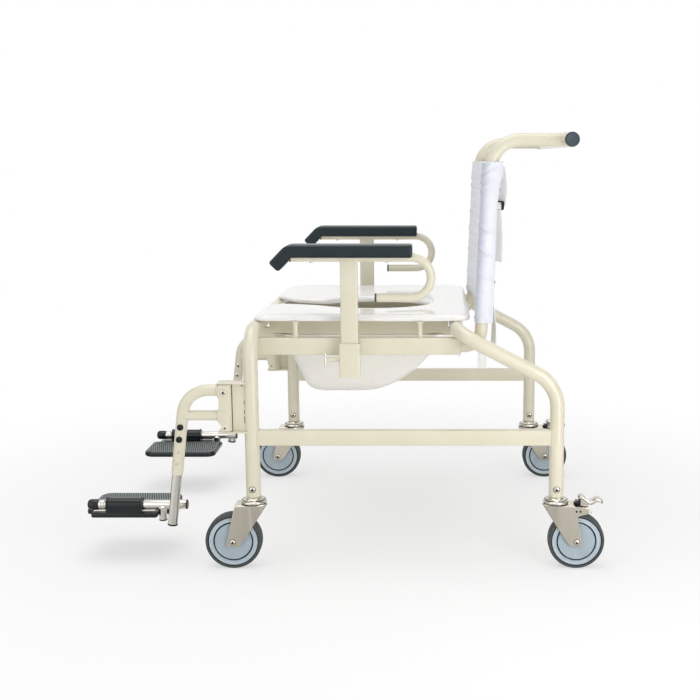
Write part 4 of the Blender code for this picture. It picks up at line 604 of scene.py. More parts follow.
socket = hollow_bar((ARM_X, ARM_Y, SOCKET_LOW), (ARM_X, ARM_Y, SOCKET_HIGH),
                    rounded_rectangle(0.0139, 0.0229, 0.004), rounded_rectangle(0.0103, 0.0193, 0.003))
housing = turned([(0.0029, 0.010), (0.0029, 0), (0.0043, 0), (0.0048, 0.0006), (0.0048, 0.0272)],
                 (ARM_X, HOUSING_MOUTH, PLUNGER_Z), Y, 28)
add_pair("armrest_socket_tube", [socket, housing], enamel, "frame", "armrest_socket")
pull_place = (ARM_X, HOUSING_MOUTH - 0.0045, PLUNGER_Z)
pin = turned([(0.0025, 0.0), (0.0025, 0.028)], pull_place, Y, 20)
half_pull = [(0.0034, 0.003), (0.0026, 0.004), (0.0026, 0.0075), (0.0034, 0.0085), (0.0034, 0.0125), (0.0024, 0.0135)]
pull = turned([(radius, -along) for radius, along in reversed(half_pull)] + half_pull, pull_place, Z, 20)
add_pair("lock_plunger_pull", [pin, pull], stainless, "plunger", "lock_plunger")
post = shell(carried([(ARM_X, ARM_Y, SOCKET_LOW + 0.004), (ARM_X, ARM_Y, ARM_TUBE_Z)],
                     rounded_rectangle(0.010, 0.019, 0.003), X))
hook = bend_path([(ARM_X, HOOK_FRONT, ARM_TUBE_Z), (ARM_X, HOOK_REAR, ARM_TUBE_Z), (ARM_X, HOOK_REAR, HOOK_Z),
                  (ARM_X, HOOK_END, HOOK_Z)], [HOOK_BEND] * 2)
weld_x, weld_y = rounded_rectangle(0.0104, 0.0194, 0.0034, 9).T
joint = bead(ARM_X + weld_x, ARM_Y + weld_y,
             ARM_TUBE_Z - np.sqrt(np.clip(ARM_TUBE_R ** 2 - weld_x ** 2, 0, None)), 0.0013)
add_pair("armrest_tube", [post, tube(hook, ARM_TUBE_R, 32), joint], enamel, "armrest", "armrest_frame")
plugs = [turned([(0.0085, -0.006), (0.0085, 0), (0.0098, 0.0), (0.0098, 0.0022), (0.0086, 0.0034), (0.0002, 0.0038)],
                (ARM_X, y, z), -Y, 28) for y, z in ((HOOK_FRONT, ARM_TUBE_Z), (HOOK_END, HOOK_Z))]
add_pair("armrest_plugs", plugs, slate, "armrest")
screws = [turned(button_head(0.0042, 0.0026), (ARM_X, y, ARM_TUBE_Z - ARM_TUBE_R + 0.0003), -Z, 24)
          for y in (-0.062, 0.103)]
add_pair("armrest_pad_screws", screws, nickel, "armrest")
nose_y, nose_z = PAD_FOLD - NOSE_LENGTH * math.cos(NOSE_TURN), PAD_Z - NOSE_LENGTH * math.sin(NOSE_TURN)
pad_line = bend_path([(ARM_X, PAD_REAR, PAD_Z), (ARM_X, PAD_FOLD, PAD_Z), (ARM_X, nose_y, nose_z)], [0.016],
                     math.radians(3))
pad_stops = np.concatenate([end_stops(walk_along(pad_line)[-1], PAD_END), np.linspace(0.245, 0.306, 16)])
pad_line = resampled(pad_line, np.unique(pad_stops))
cushion = cushioned(pad_line, PAD_HALF, PAD_HALF_HIGH, PAD_CORNER, PAD_END, PAD_CROWN)
for pad in add_pair("armrest_cushion", [cushion], foam, "armrest", "armrest_pad", 60):
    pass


# Hanger brackets: a folded steel panel welded to the front of each front leg, with two ears that hold the footrest's
# Stitch welds run down the leg; the gaps between them and two holes, one of them a drain hole at the top, are
# dark strips and discs of painted shade.
SIDEWAYS = (1, 2, 0)


def rounded_outline(corners, radii):
    """A closed outline: straight sides between corners, each corner an arc of its own radius."""
    corners = np.column_stack([np.asarray(corners, float), np.zeros(len(corners))])
    start = (corners[0] + corners[-1]) / 2
    return bend_path(np.vstack([start, corners, start]), radii, math.radians(9))[:-1, :2]


def drawn_in(outline, distance):
    """An outline moved inwards by a distance, square to its own run."""
    run = np.roll(outline, -1, axis=0) - np.roll(outline, 1, axis=0)
    run /= np.linalg.norm(run, axis=1)[:, None]
    area = np.sum(outline[:, 0] * np.roll(outline[:, 1], -1) - outline[:, 1] * np.roll(outline[:, 0], -1))
    return outline + np.column_stack([-run[:, 1], run[:, 0]]) * math.copysign(distance, area)


def slab(outline, low, high, edge, order=(0, 1, 2)):
    """A flat plate: an outline between two levels, its edges rounded by quarter circles.

    order gives the axes of the outline's two parts and of the thickness.
    """
    turn = np.linspace(0, math.pi / 2, 4)
    draw = edge * (1 - np.sin(turn))
    lift = edge * (1 - np.cos(turn))
    rows = [np.column_stack([drawn_in(outline, inward), np.full(len(outline), level)])
            for inward, level in zip(np.concatenate([draw, draw[::-1]]),
                                     np.concatenate([low + lift, (high - lift)[::-1]]))]
    grid = np.empty((len(rows), len(outline), 3))
    grid[:, :, list(order)] = np.stack(rows)
    return shell(grid)


HINGE_X, HINGE_Y = 0.356, -0.2535
BRACKET_LOW, BRACKET_HIGH, BRACKET_SHEET = 0.310, 0.422, 0.003
BRACKET_IN, PANEL_OUT = 0.3365, 0.3585
EAR_REACH = 0.0130
bracket_front = HINGE_Y - EAR_REACH - 0.0010
bracket_rear = FRONT_Y - FRAME_R * 0.4
fold_in, fold_out = BRACKET_IN + BRACKET_SHEET, PANEL_OUT - BRACKET_SHEET
ear = rounded_outline([(BRACKET_IN, bracket_front), (HINGE_X + EAR_REACH, bracket_front),
                       (HINGE_X + EAR_REACH, bracket_rear), (BRACKET_IN, bracket_rear)], [0.002, 0.008, 0.0008, 0.0008])
cheek = rounded_outline([(-0.2623, BRACKET_LOW), (-0.2405, BRACKET_LOW), (-0.2405, BRACKET_HIGH),
                         (bracket_front, BRACKET_HIGH), (bracket_front, 0.3455), (-0.2623, 0.3225)],
                        [0.003, 0.0008, 0.0008, 0.003, 0.006, 0.006])
panel = rounded_outline([(fold_in, -0.2425), (fold_in, -0.2409), (0.3480, -0.2349), (PANEL_OUT, -0.2349),
                         (PANEL_OUT, -0.2085), (fold_out, -0.2085), (fold_out, -0.2319), (0.3470, -0.2319),
                         (BRACKET_IN, -0.2391), (BRACKET_IN, -0.2425)], [0.0007] * 10)
seam_x = PANEL_OUT + 0.0002
seam_y = FRONT_Y - math.sqrt(FRAME_R ** 2 - (LEG_X - PANEL_OUT) ** 2) - 0.0004
plates = [slab(cheek, BRACKET_IN, fold_in, 0.0006, SIDEWAYS),
          slab(panel, BRACKET_LOW + 0.001, BRACKET_HIGH - 0.001, 0.0004),
          slab(ear, BRACKET_HIGH - BRACKET_SHEET, BRACKET_HIGH, 0.0010),
          slab(ear, BRACKET_LOW, BRACKET_LOW + BRACKET_SHEET, 0.0010)]
stitches = [tube([(seam_x, seam_y, z) for z in np.linspace(low, high, 9)], 0.0014, 10)
            for low, high in ((0.3835, 0.4100), (0.3615, 0.3720), (0.3480, 0.3510), (0.3130, 0.3290))]
pin_high = BRACKET_HIGH - BRACKET_LOW
pin = turned([(0.005, 0.0), (0.005, pin_high), (0.0064, pin_high), (0.0060, pin_high + 0.0008),
              (0.0002, pin_high + 0.0010)], (HINGE_X, HINGE_Y, BRACKET_LOW), Z, 28)
add_pair("hanger_bracket_plate", plates + stitches + [pin], enamel, "frame", "hanger_bracket")
# Painted shade: dark strips in the gaps between the stitch welds, and dark discs for the holes.
weld_gap_shade = [tube([(seam_x - 0.0004, seam_y + 0.0002, z) for z in ends], 0.0009, 10)
        for ends in ((0.3735, 0.3815), (0.3525, 0.3600), (0.3310, 0.3465))]
weld_gap_shade += [turned([(radius, 0.0), (radius, 0.0012), (0.0002, 0.0012)], place, way, 16)
         for radius, place, way in ((0.0017, (PANEL_OUT - 0.0009, -0.2135, 0.4145), X),
                                    (0.0019, (BRACKET_IN + 0.0009, HINGE_Y, 0.3234), -X))]
add_pair("hanger_bracket_gap_shade", weld_gap_shade, dark_steel_and_shade, "frame")


# Footrest hangers: a hinge block that swings on the pin, a bent 25.4 mm tube and a brace, welded and enamelled.
# Two black socket bolts hold the sliding extension, and two spare holes below them are lined with rivets.
HANGER_Z, HANGER_R, HANGER_CORNER_Y, HANGER_FOOT = 0.4045, 0.0127, -0.3385, 0.2155
HANGER_LEAN = math.radians(7)
BRACE_Z, BRACE_R = 0.348, 0.011
EXTENSION_R = 0.0108
SLEEVE_HALF = 0.013
BOLT_HEIGHTS, HOLE_HEIGHTS = (0.3238, 0.2962), (0.2685, 0.2415)
WELD_OUT = 0.0004


def hanger_y(height):
    """Fore-aft place of the lower tube's axis: a straight line that leans forward going down."""
    return HANGER_CORNER_Y - (HANGER_Z - height) * math.tan(HANGER_LEAN)


def open_tube(path, radius, bore, depth):
    """A round tube along a path whose last end is bored out to a depth: outside, end face, then back up inside."""
    outside = carried(path, ring(radius))
    inside = carried(np.array([path[-2], path[-1]]), ring(bore), outside[-1, 0] - path[-1])
    along = (path[-1] - path[-2]) / np.linalg.norm(path[-1] - path[-2])
    foot = inside[-1]
    bevel = path[-1] + (outside[-1] - path[-1]) * (1 - 0.0006 / radius)
    return shell(np.concatenate([outside[:-1], [outside[-1] - along * 0.0006, bevel, foot, foot - along * depth]]))


# Black plastic: moulded nylon, near black with a cool cast over 20 mm, satin, fine grain of 1 mm.
black = new_material("Black moulded nylon", "#14191C", 0.26, IOR=1.5, Specular_IOR_Level=0.4)
cast = noise(black, 0.02, 3)
tint(black, cast, "#0A1012", "#151C1F")
relief(black, noise(black, 0.001, 2), 0.00001, 0.5)
vary_roughness(black, cast, 0.13, 0.22)

sleeve_front, cover_x = HINGE_Y - SLEEVE_HALF, HINGE_X + SLEEVE_HALF
hinge_screw = (cover_x + 0.0013, HINGE_Y + 0.0012, 0.4020)
foot_screw = (cover_x - 0.0004, HINGE_Y + 0.0022, 0.3225)
hanger_foot = np.array([HINGE_X, hanger_y(HANGER_FOOT), HANGER_FOOT])
arm_path = bend_path([(HINGE_X, sleeve_front + 0.003, HANGER_Z), (HINGE_X, HANGER_CORNER_Y, HANGER_Z), hanger_foot],
                     [0.058], math.radians(4))
arm = open_tube(arm_path, HANGER_R, EXTENSION_R + 0.0003, 0.114)
block_line = np.array([(-0.0050, 0.3140), (0.0122, 0.3140), (0.0122, 0.4180), (-0.0130, 0.4180), (-0.0130, 0.3925),
                       (-0.0098, 0.3870), (-0.0098, 0.3645), (-0.0130, 0.3590), (-0.0130, 0.3360), (-0.0050, 0.3270)])
block = slab(rounded_outline(block_line + (HINGE_Y, 0),
                             [0.002, 0.002, 0.003, 0.006, 0.003, 0.004, 0.004, 0.003, 0.003, 0.006]),
             HINGE_X - 0.0122, cover_x, 0.0014, SIDEWAYS)
lobe = np.array([(-0.0098, 0.3570), (0.0082, 0.3570), (0.0106, 0.3800), (0.0106, 0.4168), (-0.0098, 0.4168)])
cover = slab(rounded_outline(lobe + (HINGE_Y, 0), [0.0085, 0.0075, 0.004, 0.003, 0.0085]),
             cover_x - 0.001, cover_x + 0.0013, 0.0010, SIDEWAYS)
lug_line = np.array([(0.0080, 0.3765), (0.0112, 0.3765), (0.0112, 0.3925), (0.0080, 0.3925)])
lug = slab(rounded_outline(lug_line + (HINGE_Y, 0), [0.001] * 4), HINGE_X + 0.006, cover_x + 0.0014, 0.0007, SIDEWAYS)
knuckle_line = np.array([(-0.0118, 0.0), (0.0118, 0.0), (0.0118, 0.0132), (0.0060, 0.0170), (-0.0060, 0.0170),
                         (-0.0118, 0.0132)])
knuckle = slab(rounded_outline(knuckle_line + (HINGE_X, HINGE_Y), [0.0005, 0.0005, 0.002, 0.003, 0.003, 0.002]),
               0.3145, 0.4176, 0.0008)
boss = turned([(0.0098, -0.0004), (0.0098, 0.0002), (0.0090, 0.0009), (0.0080, 0.0009), (0.0072, 0.0003),
               (0.0002, 0.0002)], hinge_screw, X)
brace = tube([(HINGE_X, sleeve_front + 0.003, BRACE_Z), (HINGE_X, hanger_y(BRACE_Z) + 0.004, BRACE_Z)], BRACE_R)
flat_joints = [bead(HINGE_X + radius * round_cos, sleeve_front - 0.0002, z + radius * round_sin)
               for z, radius in ((HANGER_Z, HANGER_R + WELD_OUT), (BRACE_Z, BRACE_R + WELD_OUT))]
weld_x, weld_z = ring(BRACE_R + WELD_OUT).T
saddle = bead(HINGE_X + weld_x, hanger_y(BRACE_Z + weld_z) + np.sqrt(HANGER_R ** 2 - weld_x ** 2) + 0.0002,
              BRACE_Z + weld_z)
add_pair("footrest_hanger_tube", [arm, block, knuckle, cover, lug, boss, brace, saddle] + flat_joints, enamel, "hanger",
         "footrest_hanger")
nuts = [(HINGE_X - HANGER_R + 0.0006, hanger_y(z), z) for z in BOLT_HEIGHTS]
rivets = [turned(button_head(0.0060, 0.0026), hinge_screw, X, 28),
          turned(button_head(0.0042, 0.0014), foot_screw, X, 24)]
rivets += [turned([(0.0013, 0.0), (0.0013, 0.0003), (0.0024, 0.0009), (0.0034, 0.0004), (0.0036, -0.0008),
                   (0.0003, -0.0009)], (HINGE_X + HANGER_R - 0.0002, hanger_y(z), z), X, 24) for z in HOLE_HEIGHTS]
rivets += [turned(button_head(0.0056, 0.0036), nut, -X, 24) for nut in nuts]
add_pair("hanger_rivets", rivets, nickel, "hanger")
# Painted shade: dark floors in the sockets of the hanger's screws and bolts.
floors = [socket_floor(0.0068, 0.0030, hinge_screw, X), socket_floor(0.0056, 0.0022, foot_screw, X)]
floors += [socket_floor(0.0056, 0.0036, nut, -X) for nut in nuts]
add_pair("hanger_screw_sockets", floors, dark_steel_and_shade, "hanger")
washer = [(0.0071, 0.0), (0.0071, 0.0020), (0.0066, 0.0028), (0.0056, 0.0030)]
bolt_head = [(0.0062, 0.0026), (0.0062, 0.0058), (0.0054, 0.0068), (0.0034, 0.0068), (0.0031, 0.0062), (0.0031, 0.0034),
             (0.0002, 0.0034)]
bolts = [turned(line, (HINGE_X + HANGER_R - 0.0012, hanger_y(z), z), X, sides)
         for z in BOLT_HEIGHTS for line, sides in ((washer, 36), (bolt_head, 6))]
add_pair("hanger_bolts", bolts, black, "hanger", sharp=30)


# Footrest extensions: stainless tube that slides in the hanger, with the foot bar welded on by a short link.
# The bar has a black rounded nose, a grooved collar, black end caps and a stub that stops the plate.
FOOT_BAR_X, FOOT_BAR_Z, FOOT_BAR_R, FOOT_BAR_LONG = 0.310, 0.1306, 0.0103, 0.226
EXTENSION_FOOT = 0.098
LINK_R, LINK_WELD, STUB_R = 0.009, 0.0012, 0.009
link_y = hanger_y(FOOT_BAR_Z)
bar_rear = link_y + 0.021
bar_front = bar_rear - FOOT_BAR_LONG
stub_y, stub_foot = link_y - 0.036, FOOT_BAR_Z - 0.037
slide = np.array([0.0, -math.sin(HANGER_LEAN), -math.cos(HANGER_LEAN)])
extension_foot = np.array([HINGE_X, hanger_y(EXTENSION_FOOT), EXTENSION_FOOT])


def end_cap(size):
    """Profile of a tube's end cap: a plug inside the tube, a short side and a rounded face."""
    inside = min(0.0090, size - 0.002)
    return [(inside, -0.0080), (inside, 0.0), (size, 0.0), (size, 0.0020), (0.95 * size, 0.0029), (0.80 * size, 0.0034),
            (0.0002, 0.0034)]


column = tube([hanger_foot - slide * 0.1145, extension_foot - slide * 0.0030], EXTENSION_R)
bar_line = [(-0.0010, 0.0240), (0.0004, 0.0265), (0.0004, 0.0310), (-0.0006, 0.0318), (-0.0006, 0.0330),
            (0.0004, 0.0338), (0.0004, 0.0380), (-0.0006, 0.0388), (-0.0006, 0.0400), (0.0, 0.0408),
            (0.0, FOOT_BAR_LONG - 0.0034)]
bar = turned(np.array(bar_line) + (FOOT_BAR_R, bar_front), (FOOT_BAR_X, 0, FOOT_BAR_Z), Y, 40)
link = tube([(HINGE_X - 0.004, link_y, FOOT_BAR_Z), (FOOT_BAR_X + 0.004, link_y, FOOT_BAR_Z)], LINK_R)
stub = turned([(0.0098, -0.0020), (0.0122, -0.0040), (0.0121, -0.0072), (0.0108, -0.0098), (0.0096, -0.0118),
               (STUB_R, -0.0140), (STUB_R, stub_foot - FOOT_BAR_Z + 0.0028)], (FOOT_BAR_X, stub_y, FOOT_BAR_Z), Z, 40)
weld_y, weld_z = ring(LINK_R + WELD_OUT).T
bar_joint = bead(FOOT_BAR_X + np.sqrt(FOOT_BAR_R ** 2 - weld_z ** 2) + 0.0003, link_y + weld_y, FOOT_BAR_Z + weld_z,
                 LINK_WELD)
column_joint = bead(HINGE_X - np.sqrt(EXTENSION_R ** 2 - weld_y ** 2) - 0.0003,
                    hanger_y(FOOT_BAR_Z + weld_z) + weld_y, FOOT_BAR_Z + weld_z, LINK_WELD)
add_pair("footrest_extension_tube", [column, bar, link, stub, bar_joint, column_joint], stainless, "extension",
         "footrest_extension")
nose = turned([(0.0002, 0.0), (0.0058, 0.0003), (0.0088, 0.0014), (0.0108, 0.0035), (0.0118, 0.0066), (0.0120, 0.0100),
               (0.0120, 0.0210), (0.0117, 0.0222), (0.0108, 0.0232), (0.0106, 0.0258), (0.0099, 0.0262)],
              (FOOT_BAR_X, bar_front, FOOT_BAR_Z), Y, 40)
caps = [turned(end_cap(size), place, way, 36)
        for place, way, size in (((FOOT_BAR_X, bar_rear - 0.0034, FOOT_BAR_Z), Y, 0.0107),
                                 ((FOOT_BAR_X, stub_y, stub_foot + 0.0032), -Z, 0.0094),
                                 (extension_foot - slide * 0.0034, slide, 0.0113))]
add_pair("footrest_caps", [nose] + caps, black, "extension")


# Footplates: black moulded plates with a raised rim, a grey studded tread, and a clamp that turns on the foot bar.
# A thin bright rod lies along the outboard flange and passes through the clamp's skirt.
PLATE_TOP, PLATE_LOW = 0.116, 0.103
PLATE_IN, FIELD_OUT, NOTCH_X, PLATE_OUT = 0.176, 0.2935, 0.2995, 0.325
PLATE_FRONT, PLATE_REAR = -0.584, -0.391
FLANGE_FRONT, FLANGE_REAR = -0.568, -0.4186
CLAMP_FRONT, CLAMP_REAR = -0.534, -0.453
CLAMP_R, CLAMP_HALF, BORE_R = 0.0152, 0.0142, 0.0107
TREAD_IN, TREAD_CORNER = 0.0055, 0.018
TREAD_PITCH, STUD_R, STUD_RISE, STUD_LEAN = 0.0054, 0.0017, 0.0008, 0.26
ROD_X, ROD_Z = 0.3175, 0.1186

# Footplate tread: grey moulded rubber, dusty between slanted rows of raised black studs. The real studs stand about
# 4.5 mm apart; they are drawn 5.4 mm apart, which is as fine as the render can show.
tread = new_material("Grey studded tread rubber", "#5E6567", 0.55)
dust = noise(tread, 0.018, 5)
tint(tread, dust, "#6E7677", "#7E8687")
vary_roughness(tread, dust, 0.42, 0.66)
relief(tread, noise(tread, 0.0012, 2), 0.00008)


def clamp_shell():
    """Clamp along the bar with a raised rim at each end; the bore goes back through the middle.

    Seen along the bar, it is a circle joined to a skirt whose sides drop straight to the plate.
    """
    rim = [(0.0, CLAMP_R + 0.0008), (0.0007, CLAMP_R + 0.0017), (0.0036, CLAMP_R + 0.0017), (0.0046, CLAMP_R)]
    drop = FOOT_BAR_Z - (PLATE_TOP + PLATE_LOW) / 2
    foot_turn = math.atan2(drop, CLAMP_HALF)
    turn = np.unique(np.concatenate([np.linspace(0, 2 * math.pi, 48, endpoint=False),
                                     [math.pi + foot_turn, 2 * math.pi - foot_turn]]))
    below, aside = np.maximum(-np.sin(turn), 1e-6), np.maximum(np.abs(np.cos(turn)), 1e-6)
    skirt = np.where(np.sin(turn) < 0, np.minimum(CLAMP_HALF / aside, drop / below), 0)
    rows = [(CLAMP_FRONT + step, np.maximum(radius, skirt)) for step, radius in rim]
    rows += [(CLAMP_REAR - step, np.maximum(radius, skirt)) for step, radius in reversed(rim)]
    rows += [(CLAMP_REAR, np.full(len(turn), BORE_R)), (CLAMP_FRONT, np.full(len(turn), BORE_R))]
    return shell(np.stack([np.column_stack([FOOT_BAR_X + reach * np.cos(turn), np.full(len(turn), y),
                                            FOOT_BAR_Z + reach * np.sin(turn)]) for y, reach in rows]), loop_rows=True)


def stud_field(lean):
    """Low eight-sided studs on a lattice over the tread; each row along Y lies lean pitches on from the row before."""
    columns = np.arange(PLATE_IN + 0.0095, 0.2860, TREAD_PITCH)
    rows = np.arange(PLATE_FRONT - 0.0400, PLATE_REAR + 0.0400, TREAD_PITCH)
    places = np.stack(np.meshgrid(columns, rows), axis=-1).reshape(-1, 2)
    places[:, 1] += lean * (places[:, 0] - PLATE_IN)
    low = np.array([PLATE_IN + TREAD_IN, PLATE_FRONT + TREAD_IN])
    high = np.array([FIELD_OUT - TREAD_IN, PLATE_REAR - TREAD_IN])
    past = np.maximum(np.abs(places - (low + high) / 2) - ((high - low) / 2 - TREAD_CORNER), 0)
    places = places[np.linalg.norm(past, axis=1) < TREAD_CORNER - STUD_R - 0.0004]
    profile = [(STUD_R, 0.0), (STUD_R * 0.86, STUD_RISE * 0.62), (STUD_R * 0.45, STUD_RISE)]
    return [turned(profile, (*place, PLATE_TOP + 0.0006), Z, 8) for place in places]


plate_line = rounded_outline([(PLATE_IN, PLATE_FRONT), (NOTCH_X, PLATE_FRONT), (NOTCH_X, FLANGE_FRONT),
                              (PLATE_OUT, FLANGE_FRONT), (PLATE_OUT, FLANGE_REAR), (NOTCH_X, FLANGE_REAR),
                              (NOTCH_X, PLATE_REAR), (PLATE_IN, PLATE_REAR)],
                             [0.028, 0.006, 0.003, 0.005, 0.005, 0.003, 0.006, 0.022])
field = rounded_outline([(PLATE_IN, PLATE_FRONT), (FIELD_OUT, PLATE_FRONT), (FIELD_OUT, PLATE_REAR),
                         (PLATE_IN, PLATE_REAR)], [0.028, 0.010, 0.010, 0.022])
moulding = slab(plate_line, PLATE_LOW, PLATE_TOP - 0.0012, 0.0035)
lip = slab(drawn_in(field, 0.0022), PLATE_TOP - 0.0040, PLATE_TOP, 0.0016)
add_pair("footplate_moulding", [moulding, lip, clamp_shell()], black, "plate", "footplate")
mat = slab(drawn_in(field, TREAD_IN), PLATE_TOP - 0.0010, PLATE_TOP + 0.0007, 0.0006)
add_pair("footplate_tread", [mat], tread, "plate")
for side, word in SIDES:
    studs = [(points * (side, 1, 1), polygons) for points, polygons in stud_field(side * STUD_LEAN)]
    add_piece("footplate_studs_" + word, studs, black, "plate_" + word)
rod = tube([(ROD_X, FLANGE_FRONT + 0.006, ROD_Z), (ROD_X, FLANGE_REAR - 0.004, ROD_Z)], 0.0024, 20)
add_pair("footplate_rod", [rod], stainless, "plate")


# Casters: swivel casters with 125 mm wheels, one in each leg. The stem, its collar and the race are plated steel.
# The fork is one pressing: two side plates that run together in a rounded back, folded over to a flat crown.
def stood(shells, swivel, way):
    """Shells made round a swivel at the origin, trailing to -Y, put at their swivel; way -1 trails to +Y."""
    return [(points * np.array([way, way, 1.0]) + np.array([*swivel, 0.0]), polygons) for points, polygons in shells]


CROWN_TOP, AXLE_Z, TRAIL = 0.147, 0.0625, 0.046
FORK_LOW, FORK_HALF, FORK_SHEET = 0.052, 0.021, 0.0025
FORK_BACK, BACK_DEPTH, CROWN_FOLD, NOSE_POWER = 0.0310, 0.0395, 0.003, 1.45
FOOT_CORNER, FORK_COLUMNS = 0.006, 33
PIVOT_REACH, PIVOT_Z = 0.060, 0.136


def fork_half(braked):
    """One side of the fork: rows climb from the foot, over the fold and across the crown to its middle line.

    Columns run from the front edge to the back edge; past the straight side the plan bends in to the nose, which is
    a quarter of |x|^n + |y|^n = 1.
    """
    side_top = CROWN_TOP - CROWN_FOLD
    rise = np.concatenate([FORK_LOW + FOOT_CORNER * (1 - np.cos(np.linspace(0, math.pi / 2, 6))),
                           np.linspace(0.066, 0.117, 7), np.linspace(0.1185, side_top, 20)])
    near_foot = np.clip(FORK_LOW + FOOT_CORNER - rise, 0, FOOT_CORNER)
    corner = FOOT_CORNER - np.sqrt(FOOT_CORNER ** 2 - near_foot ** 2)
    share = (rise - FORK_LOW) / (CROWN_TOP - FORK_LOW)
    front = -0.0612 + 0.0212 * share
    back = np.minimum(-0.0317 + 0.0627 * share, FORK_BACK) - corner
    if braked:
        ear = bend_path([(0, -0.0465, 0.112), (0, -0.0460, 0.1230), (0, -0.0715, 0.1275), (0, -0.0715, 0.1415),
                         (0, -0.0420, side_top)], [0.010, 0.0062, 0.0062])
        front = np.where(rise > 0.113, np.interp(rise, ear[:, 2], ear[:, 1]), front)
    front = front + corner
    fold = np.linspace(0, math.pi / 2, 5)[1:]
    flat = np.linspace(1, 0, 6)[1:]
    half = np.concatenate([np.full(len(rise), FORK_HALF), FORK_HALF - CROWN_FOLD * (1 - np.cos(fold)),
                           (FORK_HALF - CROWN_FOLD) * flat])
    height = np.concatenate([rise, side_top + CROWN_FOLD * np.sin(fold), np.full(len(flat), CROWN_TOP)])
    over = len(height) - len(rise)
    front = np.concatenate([front, np.full(over, -0.040)])
    back = np.concatenate([back, np.full(over, FORK_BACK)])
    straight_end = FORK_BACK - BACK_DEPTH
    way = (back - straight_end) / BACK_DEPTH
    last = np.where(way < 0, way, np.arcsin(np.clip(way, 0, 1) ** (NOSE_POWER / 2)))
    first = (front - straight_end) / BACK_DEPTH
    turn = first[:, None] + (last - first)[:, None] * np.linspace(0, 1, FORK_COLUMNS)
    bent = np.clip(turn, 0, math.pi / 2)
    depth = BACK_DEPTH * (half / FORK_HALF)[:, None]
    plan_x, plan_y = np.cos(bent) ** (2 / NOSE_POWER), np.sin(bent) ** (2 / NOSE_POWER)
    return np.stack([half[:, None] * plan_x, straight_end + np.where(turn < 0, BACK_DEPTH * turn, depth * plan_y),
                     np.repeat(height[:, None], FORK_COLUMNS, axis=1)], axis=-1)


# Pressed steel, nickel-plated: greyer and softer than the turned parts, with drawing lines 2 mm apart up the sides.
pressed = new_material("Nickel-plated pressed steel", "#B8B0A2", 0.34, 1.0)
draw_lines = noise(pressed, 0.002, 4, (1, 1, 0.05))
tint(pressed, draw_lines, "#D0C9B9", "#DAD3C5")
vary_roughness(pressed, draw_lines, 0.11, 0.18)
relief(pressed, draw_lines, 0.00003)

# Wheel plastic: moulded blue-grey nylon, satin, with slow flow marks over 40 mm.
wheel_nylon = new_material("Blue-grey moulded nylon", "#B0BDC7", 0.38, IOR=1.5)
flow = noise(wheel_nylon, 0.04, 4)
tint(wheel_nylon, flow, "#9AA8B2", "#AEBBC3")
relief(wheel_nylon, noise(wheel_nylon, 0.0012, 2), 0.00004)
vary_roughness(wheel_nylon, flow, 0.20, 0.32)

# Tyre rubber: dark grey non-marking rubber, matt, dusted by use in patches of 12 mm.
tyre_rubber = new_material("Grey non-marking rubber", "#454A48", 0.68)
tint(tyre_rubber, noise(tyre_rubber, 0.012, 5), "#363C3A", "#4A504D")
relief(tyre_rubber, noise(tyre_rubber, 0.0014, 3), 0.0001)

# Rim plastic: a paler copy of the same nylon on the wheel's outer ring, a painted highlight for the light on its
# rounded bead.
rim_painted_highlight = new_material("Blue-grey nylon, painted highlight", "#B3C0C9", 0.36, IOR=1.5)
streaks = noise(rim_painted_highlight, 0.03, 4)
tint(rim_painted_highlight, streaks, "#ABB9C2", "#BAC7CF")
vary_roughness(rim_painted_highlight, streaks, 0.28, 0.44)


def both_faces(half):
    """The closed profile of a wheel's ring from one face's half: the same again on the other face, in reverse."""
    return half + [(radius, -along) for radius, along in reversed(half)]


race = [(0.0126, 0.040), (0.0126, 0.0002), (0.0166, 0.0), (0.0183, -0.0008), (0.0190, -0.0022), (0.0205, -0.0036),
        (0.0240, -0.0058), (0.0268, -0.0074), (0.0280, -0.0086), (0.0285, -0.0100), (0.0285, -0.0122),
        (0.0278, -0.0132), (0.0262, -0.0138), (0.0240, -0.0140), (0.0240, -0.0157), (0.006, -0.0157), (0.006, -0.0190),
        (0.0098, -0.0190), (0.0098, -0.0225), (0.0080, -0.0240), (0.0002, -0.0240)]
# Painted light on the race: a black ring under it, where it meets the crown, stands for the shade in that gap, and a
# black ring on its cone for a dark band of reflection.
crown_gap_shade = [(0.0235, -0.0141), (0.0271, -0.0141), (0.0271, -0.0156), (0.0235, -0.0156)]
cone_dark_reflection = [(0.0242, -0.0056), (0.0258, -0.0063), (0.0258, -0.0076), (0.0242, -0.0076)]
half_disc = [(0.0044, 0.0180), (0.0098, 0.0180), (0.0108, 0.0174), (0.0124, 0.0150), (0.0132, 0.0145),
             (0.0300, 0.0141), (0.0374, 0.0141), (0.0382, 0.0147), (0.0400, 0.0149), (0.0409, 0.0145),
             (0.0413, 0.0136), (0.0414, 0.0100)]
half_rim = [(0.0444, 0.0100), (0.0446, 0.0137), (0.0452, 0.0146), (0.0462, 0.0148), (0.0472, 0.0143), (0.0476, 0.0138),
            (0.0508, 0.0138), (0.0514, 0.0144), (0.0534, 0.0147), (0.0540, 0.0141), (0.0541, 0.0100)]
half_tyre = [(0.0559, 0.0100), (0.0559, 0.0146), (0.0564, 0.0157), (0.0576, 0.0160), (0.0598, 0.0159),
             (0.0613, 0.0151), (0.0621, 0.0130), (0.0625, 0.0098)]
